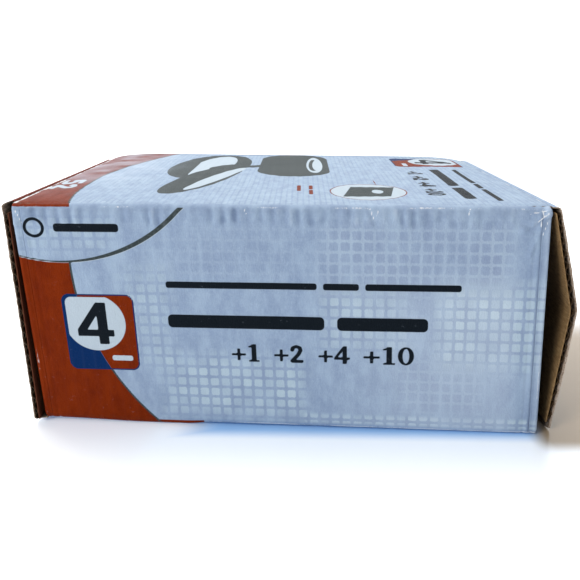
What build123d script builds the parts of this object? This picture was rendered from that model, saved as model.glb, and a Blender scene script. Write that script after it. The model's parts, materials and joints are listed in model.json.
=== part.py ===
"""A printed corrugated carton holding a four-lens close-up set in a soft wallet.

Millimetres, +Z up, the printed front faces -Y.  The origin is the centre of the carton's underside.
The carton is one blank of three-layer board (printed liner, fluted medium, kraft liner), so every
panel is three thin solids.  Each panel is drawn as a section whose path runs along the middle of the
board, with the printed side on the left of the path.
"""

import os
from math import atan2, cos, degrees, radians, sin, tan

from build123d import *

# Carton, outside
width = 135.0
depth = 101.0
height = 62.0

# Board: three layers
outer_liner = 0.30
flute_space = 1.05
inner_liner = 0.25
board = outer_liner + flute_space + inner_liner
half_board = board / 2
flute_pitch = 3.2
medium_paper = 0.16
glue_line = 0.02
outer_layer = (half_board - outer_liner, half_board)
medium_layer = (inner_liner - half_board + glue_line, half_board - outer_liner - glue_line)
inner_layer = (-half_board, inner_liner - half_board)

# Creases
tube_crease_radius = 2.2
hinge_gap = 1.2
hinge_start = 0.4
fold_start = 1.7
fold_liner_start = 0.7

# Closing ends
end_half_width = depth / 2 - half_board
right_end_offset = 1.6
left_end_offset = 0.9
right_elbow_out = 6.9
right_elbow_down = 26.2
right_elbow_radius = 9.0
right_fold_out = 4.1
right_fold_level = 0.9
left_lean = 2.0
left_fold_level = height - 0.9
tab_length = 13.0
tab_half_width = 45.5
tab_taper = 30.0
tab_corner_radius = 5.0
right_tab_rise = 25.0
left_tab_drop = 33.0
flap_length = 42.0
flap_taper = 23.0
flap_root_gap = 1.2
flap_root_overlap = 1.2
flap_tab_relief = 7.8
flap_relief_start = 7.0
flap_relief_foot = 4.5

# Glue flap
glue_flap_width = 15.0
glue_flap_thickness = 0.9
glue_flap_inset = 2.0
glue_flap_corner = 1.5

# Lenses: filter thread, and the power of each glass in dioptres
thread_radius = 26.0
thread_length = 2.5
thread_play = 0.05
rim_radius = 27.0
seat_radius = 24.7
ledge_radius = 23.6
ledge_thickness = 0.8
glass_radius = 24.6
clear_radius = 23.4
glass_edge = 1.6
retainer_thickness = 1.2
lens_clearance = 0.02
glass_index = 1.52
metre = 1000.0
grip_notches = 30
grip_notch_radius = 0.45
spanner_slot = (1.6, 2.4)
thin_ring_height = 6.0
medium_ring_height = 7.5
deep_ring_height = 15.0
thin_ledge_height = 1.0
medium_ledge_height = 1.2
deep_ledge_height = 5.0
lens_gap = 0.2

# Wallet
wallet_length = 116.0
wallet_width = 74.0
wallet_middle_x = -1.0
wallet_bottom = board + 0.3
panel_thickness = 1.6
wallet_height = 28.7
pocket_sheet = 0.8
pocket_width = 56.0
pocket_depth = 60.0
pocket_clearance = 0.3
pocket_seam_gap = 0.4
pocket_edge_radius = 0.35
leaf_corner = 5.0
leaf_edge_radius = 0.5
lens_spacing = 58.0
lens_y = -3.0
wall_sheet = 0.8
wall_inset = 6.0
front_wall_height = 18.0
strap_width = 30.0
strap_length = 21.0
strap_thickness = 1.2
strap_corner = 3.0
strap_root_inset = 3.0
strap_root_thickness = 1.0
strap_clearance = 0.3
strip_thickness = 0.7
strip_width = 24.0
strip_height = 9.0
strip_corner = 1.0
strip_drop = 1.5

os.makedirs("parts", exist_ok=True)


def write(piece, name):
    """Label a finished piece and save it under its own name."""
    piece.part.label = name
    export_step(piece.part, f"parts/{name}.step")


def beside(path, along, aside):
    """Point a given length along a path, moved to the left of it."""
    point = path.position_at(along, position_mode=PositionMode.LENGTH)
    heading = path.tangent_at(along, position_mode=PositionMode.LENGTH)
    return (point.X - aside * heading.Y, point.Y + aside * heading.X)


def band(path, low, high):
    """Face of a strip that follows a path of lines and arcs at one side of it."""
    with BuildSketch() as strip:
        with BuildLine():
            for aside in (low, high):
                start = 0.0
                for edge in path.edges():
                    middle = start + edge.length / 2
                    end = min(start + edge.length, path.length)
                    if edge.geom_type == GeomType.LINE:
                        Line(beside(path, start, aside), beside(path, end, aside))
                    else:
                        ThreePointArc(
                            beside(path, start, aside),
                            beside(path, middle, aside),
                            beside(path, end, aside),
                        )
                    start = end
            Line(beside(path, 0, low), beside(path, 0, high))
            Line(beside(path, path.length, low), beside(path, path.length, high))
        make_face()
    return strip.sketch


def sector(centre, layer, start_angle, end_angle):
    """Face of the curved strip that a layer makes round a fold."""
    with BuildSketch() as fold:
        with BuildLine():
            inner = CenterArc(centre, layer[0], start_angle, end_angle - start_angle)
            outer = CenterArc(centre, layer[1], start_angle, end_angle - start_angle)
            Line(inner @ 0, outer @ 0)
            Line(inner @ 1, outer @ 1)
        make_face()
    return fold.sketch


def flutes(path, low, high):
    """Face of the fluted medium: two rows of arcs, one paper thickness apart."""
    waves = 2 * max(1, round(path.length / flute_pitch))
    half_wave = path.length / waves
    middle = (low + high) / 2
    rise = (high - low - medium_paper) / 2
    with BuildSketch() as wave:
        with BuildLine():
            for side in (middle - medium_paper / 2, middle + medium_paper / 2):
                for index in range(waves):
                    crest = side + (rise if index % 2 == 0 else -rise)
                    ThreePointArc(
                        beside(path, index * half_wave, side),
                        beside(path, (index + 0.5) * half_wave, crest),
                        beside(path, (index + 1) * half_wave, side),
                    )
            for end in (0, waves * half_wave):
                Line(
                    beside(path, end, middle - medium_paper / 2),
                    beside(path, end, middle + medium_paper / 2),
                )
        make_face()
    return wave.sketch


def layer_part(name, plane, faces, run, outline=None):
    """One paper layer: its section pulled along the run, and trimmed by an outline if it has one."""
    with BuildPart() as layer:
        with BuildSketch(plane):
            for face in faces:
                add(face)
        extrude(amount=run)
        if outline:
            extrude(outline.sketch, amount=board, both=True, mode=Mode.INTERSECT)
    write(layer, name)


def board_panel(name, plane, run, path, printed_path=None, folds=(), outline=None):
    """Three layers of one panel, with the flutes along the run.

    The printed liner may reach further than the rest, and it alone goes round the folds.
    """
    printed = [band(printed_path or path, *outer_layer)]
    printed += [sector(centre, outer_layer, start, end) for centre, start, end in folds]
    layer_part(f"{name}_outer_liner", plane, printed, run, outline)
    layer_part(f"{name}_medium", plane, [flutes(path, *medium_layer)], run, outline)
    layer_part(f"{name}_inner_liner", plane, [band(path, *inner_layer)], run, outline)


def straight(start, end):
    """Path of one straight line."""
    with BuildLine() as path:
        Line(start, end)
    return path.wire()


# ---------------------------------------------------------------- the four walls of the tube
flat_height = height - 2 * tube_crease_radius
flat_depth = depth - 2 * tube_crease_radius
crease_x = width / 2 - half_board
wall_end = crease_x - hinge_gap


def upright_wall(name, facing):
    """Front or back wall: flutes stand up, and both liners turn the tube's long creases."""
    outside = Plane(
        origin=(facing * wall_end, facing * depth / 2, 0),
        x_dir=(0, -facing, 0),
        z_dir=(-facing, 0, 0),
    )
    bend = tube_crease_radius - half_board
    with BuildLine() as round_path:
        CenterArc((tube_crease_radius, tube_crease_radius), bend, 270, -90)
        Line((half_board, tube_crease_radius), (half_board, height - tube_crease_radius))
        CenterArc((tube_crease_radius, height - tube_crease_radius), bend, 180, -90)
    wrap = round_path.wire()
    layer_part(f"{name}_outer_liner", outside, [band(wrap, *outer_layer)], 2 * wall_end)
    layer_part(f"{name}_inner_liner", outside, [band(wrap, *inner_layer)], 2 * wall_end)
    section = Plane(
        origin=(-facing * wall_end, facing * depth / 2, tube_crease_radius),
        x_dir=(0, -facing, 0),
        z_dir=(0, 0, 1),
    )
    path = straight((half_board, 0), (half_board, 2 * wall_end))
    layer_part(f"{name}_medium", section, [flutes(path, *medium_layer)], flat_height)


upright_wall("front_wall", -1)
upright_wall("back_wall", 1)

# The top wall reaches its end panel's crease on the right and is cut off on the left; the bottom
# wall is the other way round.
top_wall_reach = width / 2 + right_end_offset - hinge_gap
bottom_wall_reach = width / 2 + left_end_offset - hinge_gap
across = Plane(origin=(0, flat_depth / 2, 0), x_dir=(1, 0, 0), z_dir=(0, -1, 0))
board_panel(
    "top_wall",
    across,
    flat_depth,
    straight((-width / 2, height - half_board), (top_wall_reach, height - half_board)),
)
board_panel(
    "bottom_wall",
    across,
    flat_depth,
    straight((width / 2, half_board), (-bottom_wall_reach, half_board)),
)

# The glue flap turns up from the bottom wall and is stuck to the inside of the back wall.
with BuildPart() as glue_flap:
    with BuildSketch(Plane.XZ.offset(board - depth / 2)):
        with Locations((0, tube_crease_radius + glue_flap_width / 2)):
            RectangleRounded(2 * (wall_end - glue_flap_inset), glue_flap_width, glue_flap_corner)
    extrude(amount=glue_flap_thickness)
write(glue_flap, "glue_flap")


# ---------------------------------------------------------------- the closing ends
def turned(start, direction, distance):
    """Point a distance from another in a direction given in degrees."""
    return (start[0] + distance * cos(radians(direction)), start[1] + distance * sin(radians(direction)))


def heading(start, end):
    """Direction in degrees from one point to another."""
    return degrees(atan2(end[1] - start[1], end[0] - start[0]))


def closing_end(name, side, end_offset, corners, elbow_radius, tab_slope):
    """End panel and tuck tab, drawn from the hinge: local x points inwards, local y along the panel."""
    hinge = (side * (width / 2 + end_offset), height / 2 + side * (height / 2 - half_board))
    section = Plane(
        origin=(hinge[0], end_half_width, hinge[1]), x_dir=(-side, 0, 0), z_dir=(0, -1, 0)
    )
    first = heading(corners[0], corners[1])
    last = heading(corners[-2], corners[-1])
    fold = corners[-1]
    starts = [turned(corners[0], first, hinge_start)] + corners[1:-1] + [turned(fold, last, -fold_start)]
    paths = []
    for points in (starts, corners):
        with BuildLine() as path:
            if len(points) > 2:
                FilletPolyline(*points, radius=elbow_radius)
            else:
                Line(*points)
        paths.append(path.wire())
    folds = [(corners[0], 270, first + 90), (fold, last + 90, 90 - tab_slope)]
    board_panel(f"{name}_end", section, 2 * end_half_width, paths[0], paths[1], folds)

    tab_start = turned(fold, -tab_slope, fold_start)
    tab_end = turned(fold, -tab_slope, tab_length)
    tab_plane = Plane(
        origin=section.from_local_coords((fold[0], fold[1], end_half_width)),
        x_dir=section.x_dir * cos(radians(tab_slope)) - section.y_dir * sin(radians(tab_slope)),
        z_dir=section.x_dir * sin(radians(tab_slope)) + section.y_dir * cos(radians(tab_slope)),
    )
    tip_half_width = tab_half_width - tab_length * tan(radians(tab_taper))
    with BuildSketch(tab_plane) as tab_outline:
        Polygon(
            (0, -tab_half_width),
            (tab_length, -tip_half_width),
            (tab_length, tip_half_width),
            (0, tab_half_width),
            align=None,
        )
        fillet(tab_outline.vertices().sort_by(Axis.X)[-2:], tab_corner_radius)
    board_panel(
        f"{name}_tab",
        section,
        2 * end_half_width,
        straight(tab_start, tab_end),
        straight(turned(fold, -tab_slope, fold_liner_start), tab_end),
        outline=tab_outline,
    )


closing_end(
    "right",
    1,
    right_end_offset,
    [
        (0, 0),
        (-right_elbow_out, right_elbow_down),
        (-right_fold_out, height - half_board - right_fold_level),
    ],
    right_elbow_radius,
    right_tab_rise,
)
closing_end(
    "left",
    -1,
    left_end_offset,
    [(0, 0), (-left_lean, left_fold_level - half_board)],
    None,
    left_tab_drop,
)


# ---------------------------------------------------------------- the dust flaps
def dust_flap(name, side, facing):
    """Flap folded in from the front or back wall, tapered towards the end panel's hinge."""
    crease = (side * crease_x, facing * (depth / 2 - half_board))
    section = Plane(
        origin=(crease[0], crease[1], 0 if side == facing else height),
        x_dir=(-side, 0, 0),
        z_dir=(0, 0, side * facing),
    )
    hinge_edge = board + flap_root_gap
    far_edge = hinge_edge + (flap_length - hinge_start) * tan(radians(flap_taper))
    tab_edge = height - board - flap_root_gap
    relief_edge = height - flap_tab_relief
    outline_points = [
        (hinge_start - flap_root_overlap, hinge_edge),
        (hinge_start, hinge_edge),
        (flap_length, far_edge),
        (flap_length, relief_edge),
        (flap_relief_start, relief_edge),
        (flap_relief_foot, tab_edge),
        (hinge_start - flap_root_overlap, tab_edge),
    ]
    if side > 0:
        outline_points = [(along, height - up) for along, up in outline_points]
    trim_plane = Plane(
        origin=(crease[0], crease[1], 0),
        x_dir=(0, -facing, 0),
        z_dir=(-facing, 0, 0),
    )
    with BuildSketch(trim_plane) as outline:
        Polygon(*outline_points, align=None)
    board_panel(
        name,
        section,
        height,
        straight((0, hinge_start), (0, flap_length)),
        straight((0, 0), (0, flap_length)),
        [((0, 0), 180, 270)],
        outline,
    )


dust_flap("right_front_flap", 1, -1)
dust_flap("right_back_flap", 1, 1)
dust_flap("left_front_flap", -1, -1)
dust_flap("left_back_flap", -1, 1)


# ---------------------------------------------------------------- the four lenses
def lens(name, power, centre, ring_height, ledge_height, convex_sides):
    """Threaded ring, glass and retaining ring, stood on the thread end at a centre point."""
    axis_plane = Plane(origin=centre, x_dir=(1, 0, 0), z_dir=(0, -1, 0))
    upright = Axis(centre, (0, 0, 1))
    seat = ledge_height + ledge_thickness
    with BuildPart() as ring:
        with BuildSketch(axis_plane):
            with BuildLine():
                Polyline(
                    (ledge_radius, ledge_height),
                    (seat_radius, 0),
                    (thread_radius, 0),
                    (thread_radius, thread_length),
                    (rim_radius, thread_length),
                    (rim_radius, ring_height),
                    (thread_radius + thread_play, ring_height),
                    (thread_radius + thread_play, ring_height - thread_length),
                    (seat_radius, ring_height - thread_length),
                    (seat_radius, seat),
                    (ledge_radius, seat),
                    close=True,
                )
            make_face()
        revolve(axis=upright)
        with BuildSketch(Plane(origin=centre).offset(thread_length)):
            with PolarLocations(rim_radius + grip_notch_radius / 2, grip_notches):
                Circle(grip_notch_radius)
        extrude(amount=ring_height - thread_length, mode=Mode.SUBTRACT)
    write(ring, f"{name}_ring")

    surface_radius = convex_sides * (glass_index - 1) * metre / power
    rim_depth = (surface_radius**2 - clear_radius**2) ** 0.5
    half_depth = (surface_radius**2 - (clear_radius / 2) ** 2) ** 0.5
    sag = surface_radius - rim_depth
    foot = seat + lens_clearance
    top = foot + glass_edge
    back_sag = sag if convex_sides == 2 else 0
    with BuildPart() as glass:
        with BuildSketch(axis_plane):
            with BuildLine():
                Line((glass_radius, foot), (glass_radius, top))
                Line((glass_radius, top), (clear_radius, top))
                ThreePointArc(
                    (clear_radius, top),
                    (clear_radius / 2, top + half_depth - rim_depth),
                    (0, top + sag),
                )
                Line((0, top + sag), (0, foot - back_sag))
                if back_sag:
                    ThreePointArc(
                        (0, foot - back_sag),
                        (clear_radius / 2, foot - half_depth + rim_depth),
                        (clear_radius, foot),
                    )
                else:
                    Line((0, foot), (clear_radius, foot))
                Line((clear_radius, foot), (glass_radius, foot))
            make_face()
        revolve(axis=upright)
    write(glass, f"{name}_glass")

    with BuildPart() as retainer:
        with BuildSketch(Plane(origin=centre).offset(top + lens_clearance)):
            Circle(seat_radius - thread_play)
            Circle(ledge_radius, mode=Mode.SUBTRACT)
            with PolarLocations(ledge_radius, 2):
                Rectangle(*spanner_slot, mode=Mode.SUBTRACT)
        extrude(amount=retainer_thickness)
    write(retainer, f"{name}_retainer")


# ---------------------------------------------------------------- the wallet
panel_top = wallet_bottom + panel_thickness
wallet_top = wallet_bottom + wallet_height
cover_underside = wallet_top - panel_thickness
left_lens_x = wallet_middle_x - lens_spacing / 2
right_lens_x = wallet_middle_x + lens_spacing / 2
stored_thin_foot = cover_underside - lens_gap - thin_ring_height
stored_foot = panel_top + lens_gap

lens("plus_1", 1, (left_lens_x, lens_y, stored_thin_foot), thin_ring_height, thin_ledge_height, 1)
lens("plus_2", 2, (right_lens_x, lens_y, stored_thin_foot), thin_ring_height, thin_ledge_height, 1)
lens("plus_4", 4, (left_lens_x, lens_y, stored_foot), medium_ring_height, medium_ledge_height, 1)
lens("plus_10", 10, (right_lens_x, lens_y, stored_foot), deep_ring_height, deep_ledge_height, 2)


def leaf(name, bottom):
    """Padded rectangular leaf of the wallet."""
    with BuildPart() as panel:
        with BuildSketch(Plane.XY.offset(bottom)):
            with Locations((wallet_middle_x, 0)):
                RectangleRounded(wallet_length, wallet_width, leaf_corner)
        extrude(amount=panel_thickness)
        fillet(panel.edges().group_by(Axis.Z)[-1], leaf_edge_radius)
    write(panel, name)


def pocket(name, middle_x, level, rise):
    """Pocket sewn to a leaf: a shallow tray over one lens, open at the leaf and at its mouth."""
    outer_rise = rise + (pocket_sheet if rise > 0 else -pocket_sheet)
    with BuildPart() as tray:
        with BuildSketch(Plane.XY.offset(level)):
            with Locations((middle_x, lens_y)):
                Rectangle(pocket_width + 2 * pocket_sheet - pocket_seam_gap, pocket_depth)
        extrude(amount=outer_rise)
        with BuildSketch(Plane.XY.offset(level)):
            with Locations((middle_x, lens_y - pocket_sheet)):
                Rectangle(pocket_width - pocket_seam_gap, pocket_depth)
        extrude(amount=rise, mode=Mode.SUBTRACT)
        fillet(tray.edges().filter_by(Axis.Y).group_by(Axis.Z)[-1 if rise > 0 else 0], pocket_edge_radius)
    write(tray, name)


leaf("wallet_base", wallet_bottom)
leaf("wallet_cover", cover_underside)
pocket("plus_4_pocket", left_lens_x, panel_top, lens_gap + medium_ring_height + pocket_clearance)
pocket("plus_10_pocket", right_lens_x, panel_top, lens_gap + deep_ring_height + pocket_clearance)
pocket("plus_1_pocket", left_lens_x, cover_underside, -(lens_gap + thin_ring_height + pocket_clearance))
pocket("plus_2_pocket", right_lens_x, cover_underside, -(lens_gap + thin_ring_height + pocket_clearance))

# The spine stands at the back of the base, and the cover's crease is at its top edge.
spine_y = wallet_width / 2
with BuildPart() as wallet_spine:
    with BuildSketch(Plane.XZ.offset(-spine_y - wall_sheet)):
        with Locations((wallet_middle_x, wallet_bottom + (wallet_height - panel_thickness) / 2)):
            Rectangle(wallet_length - 2 * wall_inset, wallet_height - panel_thickness)
    extrude(amount=wall_sheet)
write(wallet_spine, "wallet_spine")

with BuildPart() as wallet_front:
    with BuildSketch(Plane.XZ.offset(wallet_width / 2)):
        with Locations((wallet_middle_x, wallet_bottom + front_wall_height / 2)):
            Rectangle(wallet_length - 2 * wall_inset, front_wall_height)
    extrude(amount=wall_sheet)
write(wallet_front, "wallet_front")

# The strap hangs from the cover, outside the front wall, and is held by hook-and-loop strips.
front_face = wallet_width / 2 + wall_sheet
strip_middle = wallet_bottom + front_wall_height - strip_height / 2 - strip_drop
with BuildPart() as loop_strip:
    with BuildSketch(Plane.XZ.offset(front_face)):
        with Locations((wallet_middle_x, strip_middle)):
            RectangleRounded(strip_width, strip_height, strip_corner)
    extrude(amount=strip_thickness)
write(loop_strip, "loop_strip")

strap_face = front_face + 2 * strip_thickness + strap_clearance
with BuildPart() as hook_strip:
    with BuildSketch(Plane.XZ.offset(strap_face)):
        with Locations((wallet_middle_x, strip_middle)):
            RectangleRounded(strip_width, strip_height, strip_corner)
    extrude(amount=-strip_thickness)
write(hook_strip, "hook_strip")

with BuildPart() as strap:
    with BuildSketch(Plane.XZ.offset(strap_face)):
        with Locations((wallet_middle_x, wallet_top - strap_length / 2)):
            RectangleRounded(strap_width, strap_length, strap_corner)
    extrude(amount=strap_thickness)
    with BuildSketch(Plane.XY.offset(cover_underside + (panel_thickness - strap_root_thickness) / 2)):
        with Locations((wallet_middle_x, -(wallet_width / 2 + strap_face) / 2)):
            Rectangle(strap_width - 2 * strap_root_inset, strap_face - wallet_width / 2)
    extrude(amount=strap_root_thickness)
write(strap, "wallet_strap")
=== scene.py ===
import json
import math

import bmesh
import bpy
import numpy as np
from mathutils import Matrix, Vector


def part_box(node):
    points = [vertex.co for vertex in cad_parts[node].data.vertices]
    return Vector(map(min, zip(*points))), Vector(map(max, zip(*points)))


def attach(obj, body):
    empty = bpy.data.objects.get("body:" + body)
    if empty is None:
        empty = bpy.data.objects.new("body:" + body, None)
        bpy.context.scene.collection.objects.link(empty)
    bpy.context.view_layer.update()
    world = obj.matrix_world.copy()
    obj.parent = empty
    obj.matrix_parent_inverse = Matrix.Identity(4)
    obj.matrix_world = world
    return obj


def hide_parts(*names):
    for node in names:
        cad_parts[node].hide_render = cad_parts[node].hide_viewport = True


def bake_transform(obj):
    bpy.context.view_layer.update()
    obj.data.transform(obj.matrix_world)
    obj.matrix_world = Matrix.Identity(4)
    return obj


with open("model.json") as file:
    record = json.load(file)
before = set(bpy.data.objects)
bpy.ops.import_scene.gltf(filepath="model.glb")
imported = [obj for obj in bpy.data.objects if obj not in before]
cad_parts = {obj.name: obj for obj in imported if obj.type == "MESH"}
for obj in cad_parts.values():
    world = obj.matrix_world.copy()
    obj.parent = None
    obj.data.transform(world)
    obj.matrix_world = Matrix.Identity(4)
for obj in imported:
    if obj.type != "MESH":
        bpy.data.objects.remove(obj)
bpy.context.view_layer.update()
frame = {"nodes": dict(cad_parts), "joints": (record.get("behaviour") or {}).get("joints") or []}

# Places are worked out in millimetres, and a mesh is scaled to metres when it is made.
mm = 0.001


# ------ places taken from the frame
def in_mm(vector):
    """A frame point as millimetres."""
    return np.array(vector, float) / mm


def joint_place(name):
    """Pivot of a joint, in millimetres."""
    return in_mm(next(j["pos_m"] for j in frame["joints"] if j["name"] == name))


front_low, front_high = map(in_mm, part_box("front_wall_outer_liner"))
top_low, top_high = map(in_mm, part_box("top_wall_outer_liner"))
bottom_low, bottom_high = map(in_mm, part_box("bottom_wall_outer_liner"))
back_high = in_mm(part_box("back_wall_outer_liner")[1])
medium_low, medium_high = map(in_mm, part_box("front_wall_medium"))
elbow_out = in_mm(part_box("right_end_outer_liner")[1])[0]

height = top_high[2]
front_y = front_low[1]
back_y = back_high[1]
depth = back_y - front_y
half_width = -top_low[0]
crease_radius = medium_low[2]
paper = 0.30
half_board = 0.8
wall_end = front_high[0]
end_half = depth / 2 - half_board
flap_fold_x, flap_fold_y = np.abs(joint_place("right_front_flap_hinge")[:2])
medium_length = medium_high[0] - medium_low[0]
flute_pitch = medium_length / round(medium_length / 3.2)


# ------ smooth noise and easing
def eased(value, low, high):
    """0 below low, 1 above high, with a smooth step between."""
    t = np.clip((value - low) / (high - low), 0, 1)
    return t * t * (3 - 2 * t)


def bell(distance, width):
    """1 on a line, falling smoothly to 0 beside it."""
    return np.exp(-((distance / width) ** 2))


def run_length(path):
    """Distance covered at each point of a path."""
    return np.concatenate([[0], np.cumsum(np.linalg.norm(np.diff(path, axis=0), axis=1))])


def points_of(x, y, z):
    """Grid of points from three coordinates, each of them a grid, a row, a column or one number."""
    return np.stack(np.broadcast_arrays(x, y, z), -1).astype(float)


def noise(u, v, cell, seed):
    """Smooth noise from -1 to 1, with features about one cell wide."""
    table = np.random.default_rng(seed).uniform(-1, 1, (256, 256))
    a, b = np.asarray(u) / cell, np.asarray(v) / cell
    i, j = np.floor(a).astype(int), np.floor(b).astype(int)
    s, t = a - i, b - j
    s, t = s * s * (3 - 2 * s), t * t * (3 - 2 * t)
    i0, j0, i1, j1 = i % 256, j % 256, (i + 1) % 256, (j + 1) % 256
    low = table[i0, j0] * (1 - s) + table[i1, j0] * s
    high = table[i0, j1] * (1 - s) + table[i1, j1] * s
    return low * (1 - t) + high * t


# ------ flat shapes as signed distances
def box_shape(u, v, centre, half, corner=0.0):
    """Rounded rectangle: negative inside, in millimetres."""
    x = np.abs(u - centre[0]) - half[0] + corner
    y = np.abs(v - centre[1]) - half[1] + corner
    outside = np.hypot(np.maximum(x, 0), np.maximum(y, 0))
    return outside + np.minimum(np.maximum(x, y), 0) - corner


def disc_shape(u, v, centre, radius):
    return np.hypot(u - centre[0], v - centre[1]) - radius


def ellipse_shape(u, v, centre, radii, turn=0.0):
    """Ellipse whose long axis is turned by some degrees."""
    c, s = math.cos(math.radians(turn)), math.sin(math.radians(turn))
    x, y = u - centre[0], v - centre[1]
    a, b = (x * c + y * s) / radii[0], (y * c - x * s) / radii[1]
    reach = np.hypot(a, b)
    slope = np.hypot(a / radii[0], b / radii[1]) / np.maximum(reach, 1e-6)
    return (reach - 1) / np.maximum(slope, 1e-6)


def stroke_shape(u, v, points, half_thickness):
    """Line through some points, with round ends."""
    nearest = np.full(np.shape(u), 1e9)
    for (ax, ay), (bx, by) in zip(points, points[1:]):
        ex, ey, px, py = bx - ax, by - ay, u - ax, v - ay
        t = np.clip((px * ex + py * ey) / (ex * ex + ey * ey), 0, 1)
        nearest = np.minimum(nearest, np.hypot(px - ex * t, py - ey * t))
    return nearest - half_thickness


def polygon_shape(u, v, points):
    """Closed outline of straight sides."""
    closed = points + points[:1]
    inside = np.zeros(np.shape(u), bool)
    for (ax, ay), (bx, by) in zip(closed, closed[1:]):
        if ay != by:
            crossing = (ay > v) != (by > v)
            inside ^= crossing & (u < ax + (bx - ax) * (v - ay) / (by - ay))
    nearest = stroke_shape(u, v, closed, 0)
    return np.where(inside, -nearest, nearest)


def union(*shapes):
    return np.minimum.reduce(np.broadcast_arrays(*shapes))


def common(*shapes):
    return np.maximum.reduce(np.broadcast_arrays(*shapes))


# ------ numerals and stand-ins for wording
def four(x, y):
    """Numeral 4, one unit high."""
    outer = [(0.38, 1), (0.51, 1), (0.51, 0.35), (0.64, 0.35), (0.64, 0.24), (0.51, 0.24)]
    outer += [(0.51, 0), (0.36, 0), (0.36, 0.24), (0.0, 0.24), (0.0, 0.33)]
    hole = [(0.10, 0.35), (0.36, 0.35), (0.36, 0.78)]
    return common(polygon_shape(x, y, outer), -polygon_shape(x, y, hole))


def heavy_four(x, y):
    """Broad numeral 4 with thick strokes, one unit high."""
    outer = [(0.46, 1), (0.68, 1), (0.68, 0.35), (0.81, 0.35), (0.81, 0.19), (0.68, 0.19)]
    outer += [(0.68, 0), (0.46, 0), (0.46, 0.19), (0.0, 0.19), (0.0, 0.35)]
    hole = [(0.22, 0.35), (0.46, 0.35), (0.46, 0.70)]
    return common(polygon_shape(x, y, outer), -polygon_shape(x, y, hole))


def plus(x, y):
    across = box_shape(x, y, (0.30, 0.40), (0.29, 0.045))
    return union(across, box_shape(x, y, (0.30, 0.40), (0.045, 0.33)))


def one(x, y):
    flag = polygon_shape(x, y, [(0.30, 1.0), (0.05, 0.88), (0.05, 0.83), (0.30, 0.88)])
    stem = box_shape(x, y, (0.27, 0.5), (0.085, 0.5))
    return union(flag, stem, box_shape(x, y, (0.27, 0.035), (0.21, 0.035)))


def two(x, y):
    curve = [(0.09, 0.72), (0.12, 0.86), (0.26, 0.94), (0.41, 0.87), (0.44, 0.71), (0.35, 0.48)]
    curve += [(0.08, 0.09)]
    return union(stroke_shape(x, y, curve, 0.07), box_shape(x, y, (0.30, 0.07), (0.24, 0.07)))


def five(x, y):
    curve = [(0.12, 0.54), (0.28, 0.60), (0.44, 0.48), (0.46, 0.26), (0.32, 0.09), (0.08, 0.10)]
    return union(
        stroke_shape(x, y, curve, 0.07),
        stroke_shape(x, y, [(0.14, 0.92), (0.12, 0.54)], 0.07),
        box_shape(x, y, (0.29, 0.93), (0.18, 0.07)),
    )


def nought(x, y):
    hole = ellipse_shape(x, y, (0.31, 0.5), (0.14, 0.44))
    return common(ellipse_shape(x, y, (0.31, 0.5), (0.28, 0.51)), -hole)


glyphs = {
    "+": (plus, 0.68),
    "0": (nought, 0.68),
    "1": (one, 0.58),
    "2": (two, 0.64),
    "4": (four, 0.70),
    "5": (five, 0.62),
}


def numerals(u, v, text, left, base, tall, stretch=1.27, weight=0.1):
    """Numbers set from a left edge on a base line, a little heavier than drawn."""
    shapes = []
    for character in text:
        if character == " ":
            left += 0.84 * tall
            continue
        draw, advance = glyphs[character]
        shapes.append(tall * draw((u - left) / tall / stretch, (v - base) / tall))
        left += advance * tall * stretch
    return union(*shapes) - weight * tall / 5


def bars(u, v, lengths, left, base, tall):
    """Row of plain rounded bars, one for each word of a printed line that isn't reproduced."""
    shapes = []
    for length in lengths:
        centre = (left + length / 2, base + tall / 2)
        shapes.append(box_shape(u, v, centre, (length / 2, tall / 2), 0.32 * tall))
        left += length + 0.9 * tall
    return union(*shapes)


def quarter_turn(u, v, origin):
    """Coordinates in a frame turned a quarter clockwise about an origin."""
    return origin[1] - v, u - origin[0]


# ------ the print on each panel
square_pitch = 2.95
nowhere = 60.0  # the signed distance that leaves a colour off a whole panel
colour_names = ("orange", "blue", "white", "grey", "ink")
amount_names = ("lighter", "darker", "wear", "rib", "pale")


def blank_art(u):
    """Signed distances to the edge of each colour, and how strongly each treatment shows."""
    art = {name: np.full(np.shape(u), nowhere) for name in colour_names}
    return art | {name: np.zeros(np.shape(u)) for name in amount_names}


def add(art, name, *shapes):
    """Print more shapes in a colour."""
    art[name] = union(art[name], *shapes)


def patch(u, v, centre, half, edge):
    """Soft-edged patch, 1 in the middle."""
    return eased(-box_shape(u, v, centre, half), -edge / 2, edge / 2)


def patches(u, v, rows):
    """Soft-edged patches added together; each row is a centre, half sizes, an edge and a strength."""
    return sum(strength * patch(u, v, centre, half, edge) for centre, half, edge, strength in rows)


def count_badge(art, u, v, centre, size, sweep):
    """Rounded badge with a white disc and the number of lenses; sweep parts its blue from its orange."""
    x, y = (u - centre[0]) / size, (v - centre[1]) / size
    outline = size * box_shape(x, y, (0, 0), (0.93, 1.08), 0.2)
    inset = size * box_shape(x, y, (0.04, -0.02), (0.90, 1.03), 0.17)
    disc = union(disc_shape(x, y, (-0.13, 0.28), 0.81), box_shape(x, y, (-0.63, 0.78), (0.5, 0.5)))
    disc = common(size * disc, inset)
    rim = np.abs(outline) - 0.2
    art["blue"] = union(common(outline, sweep), rim)
    art["orange"] = union(common(art["orange"], -outline), common(outline, -sweep))
    word_bar = size * box_shape(x, y, (0.50, -0.74), (0.28, 0.075), 0.05)
    art["white"] = union(common(art["white"], -outline), disc, word_bar)
    art["grey"] = common(art["grey"], -outline)
    tall = 1.2
    number = size * tall * heavy_four((x + 0.62) / tall, (y + 0.34) / tall)
    add(art, "ink", number)


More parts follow.
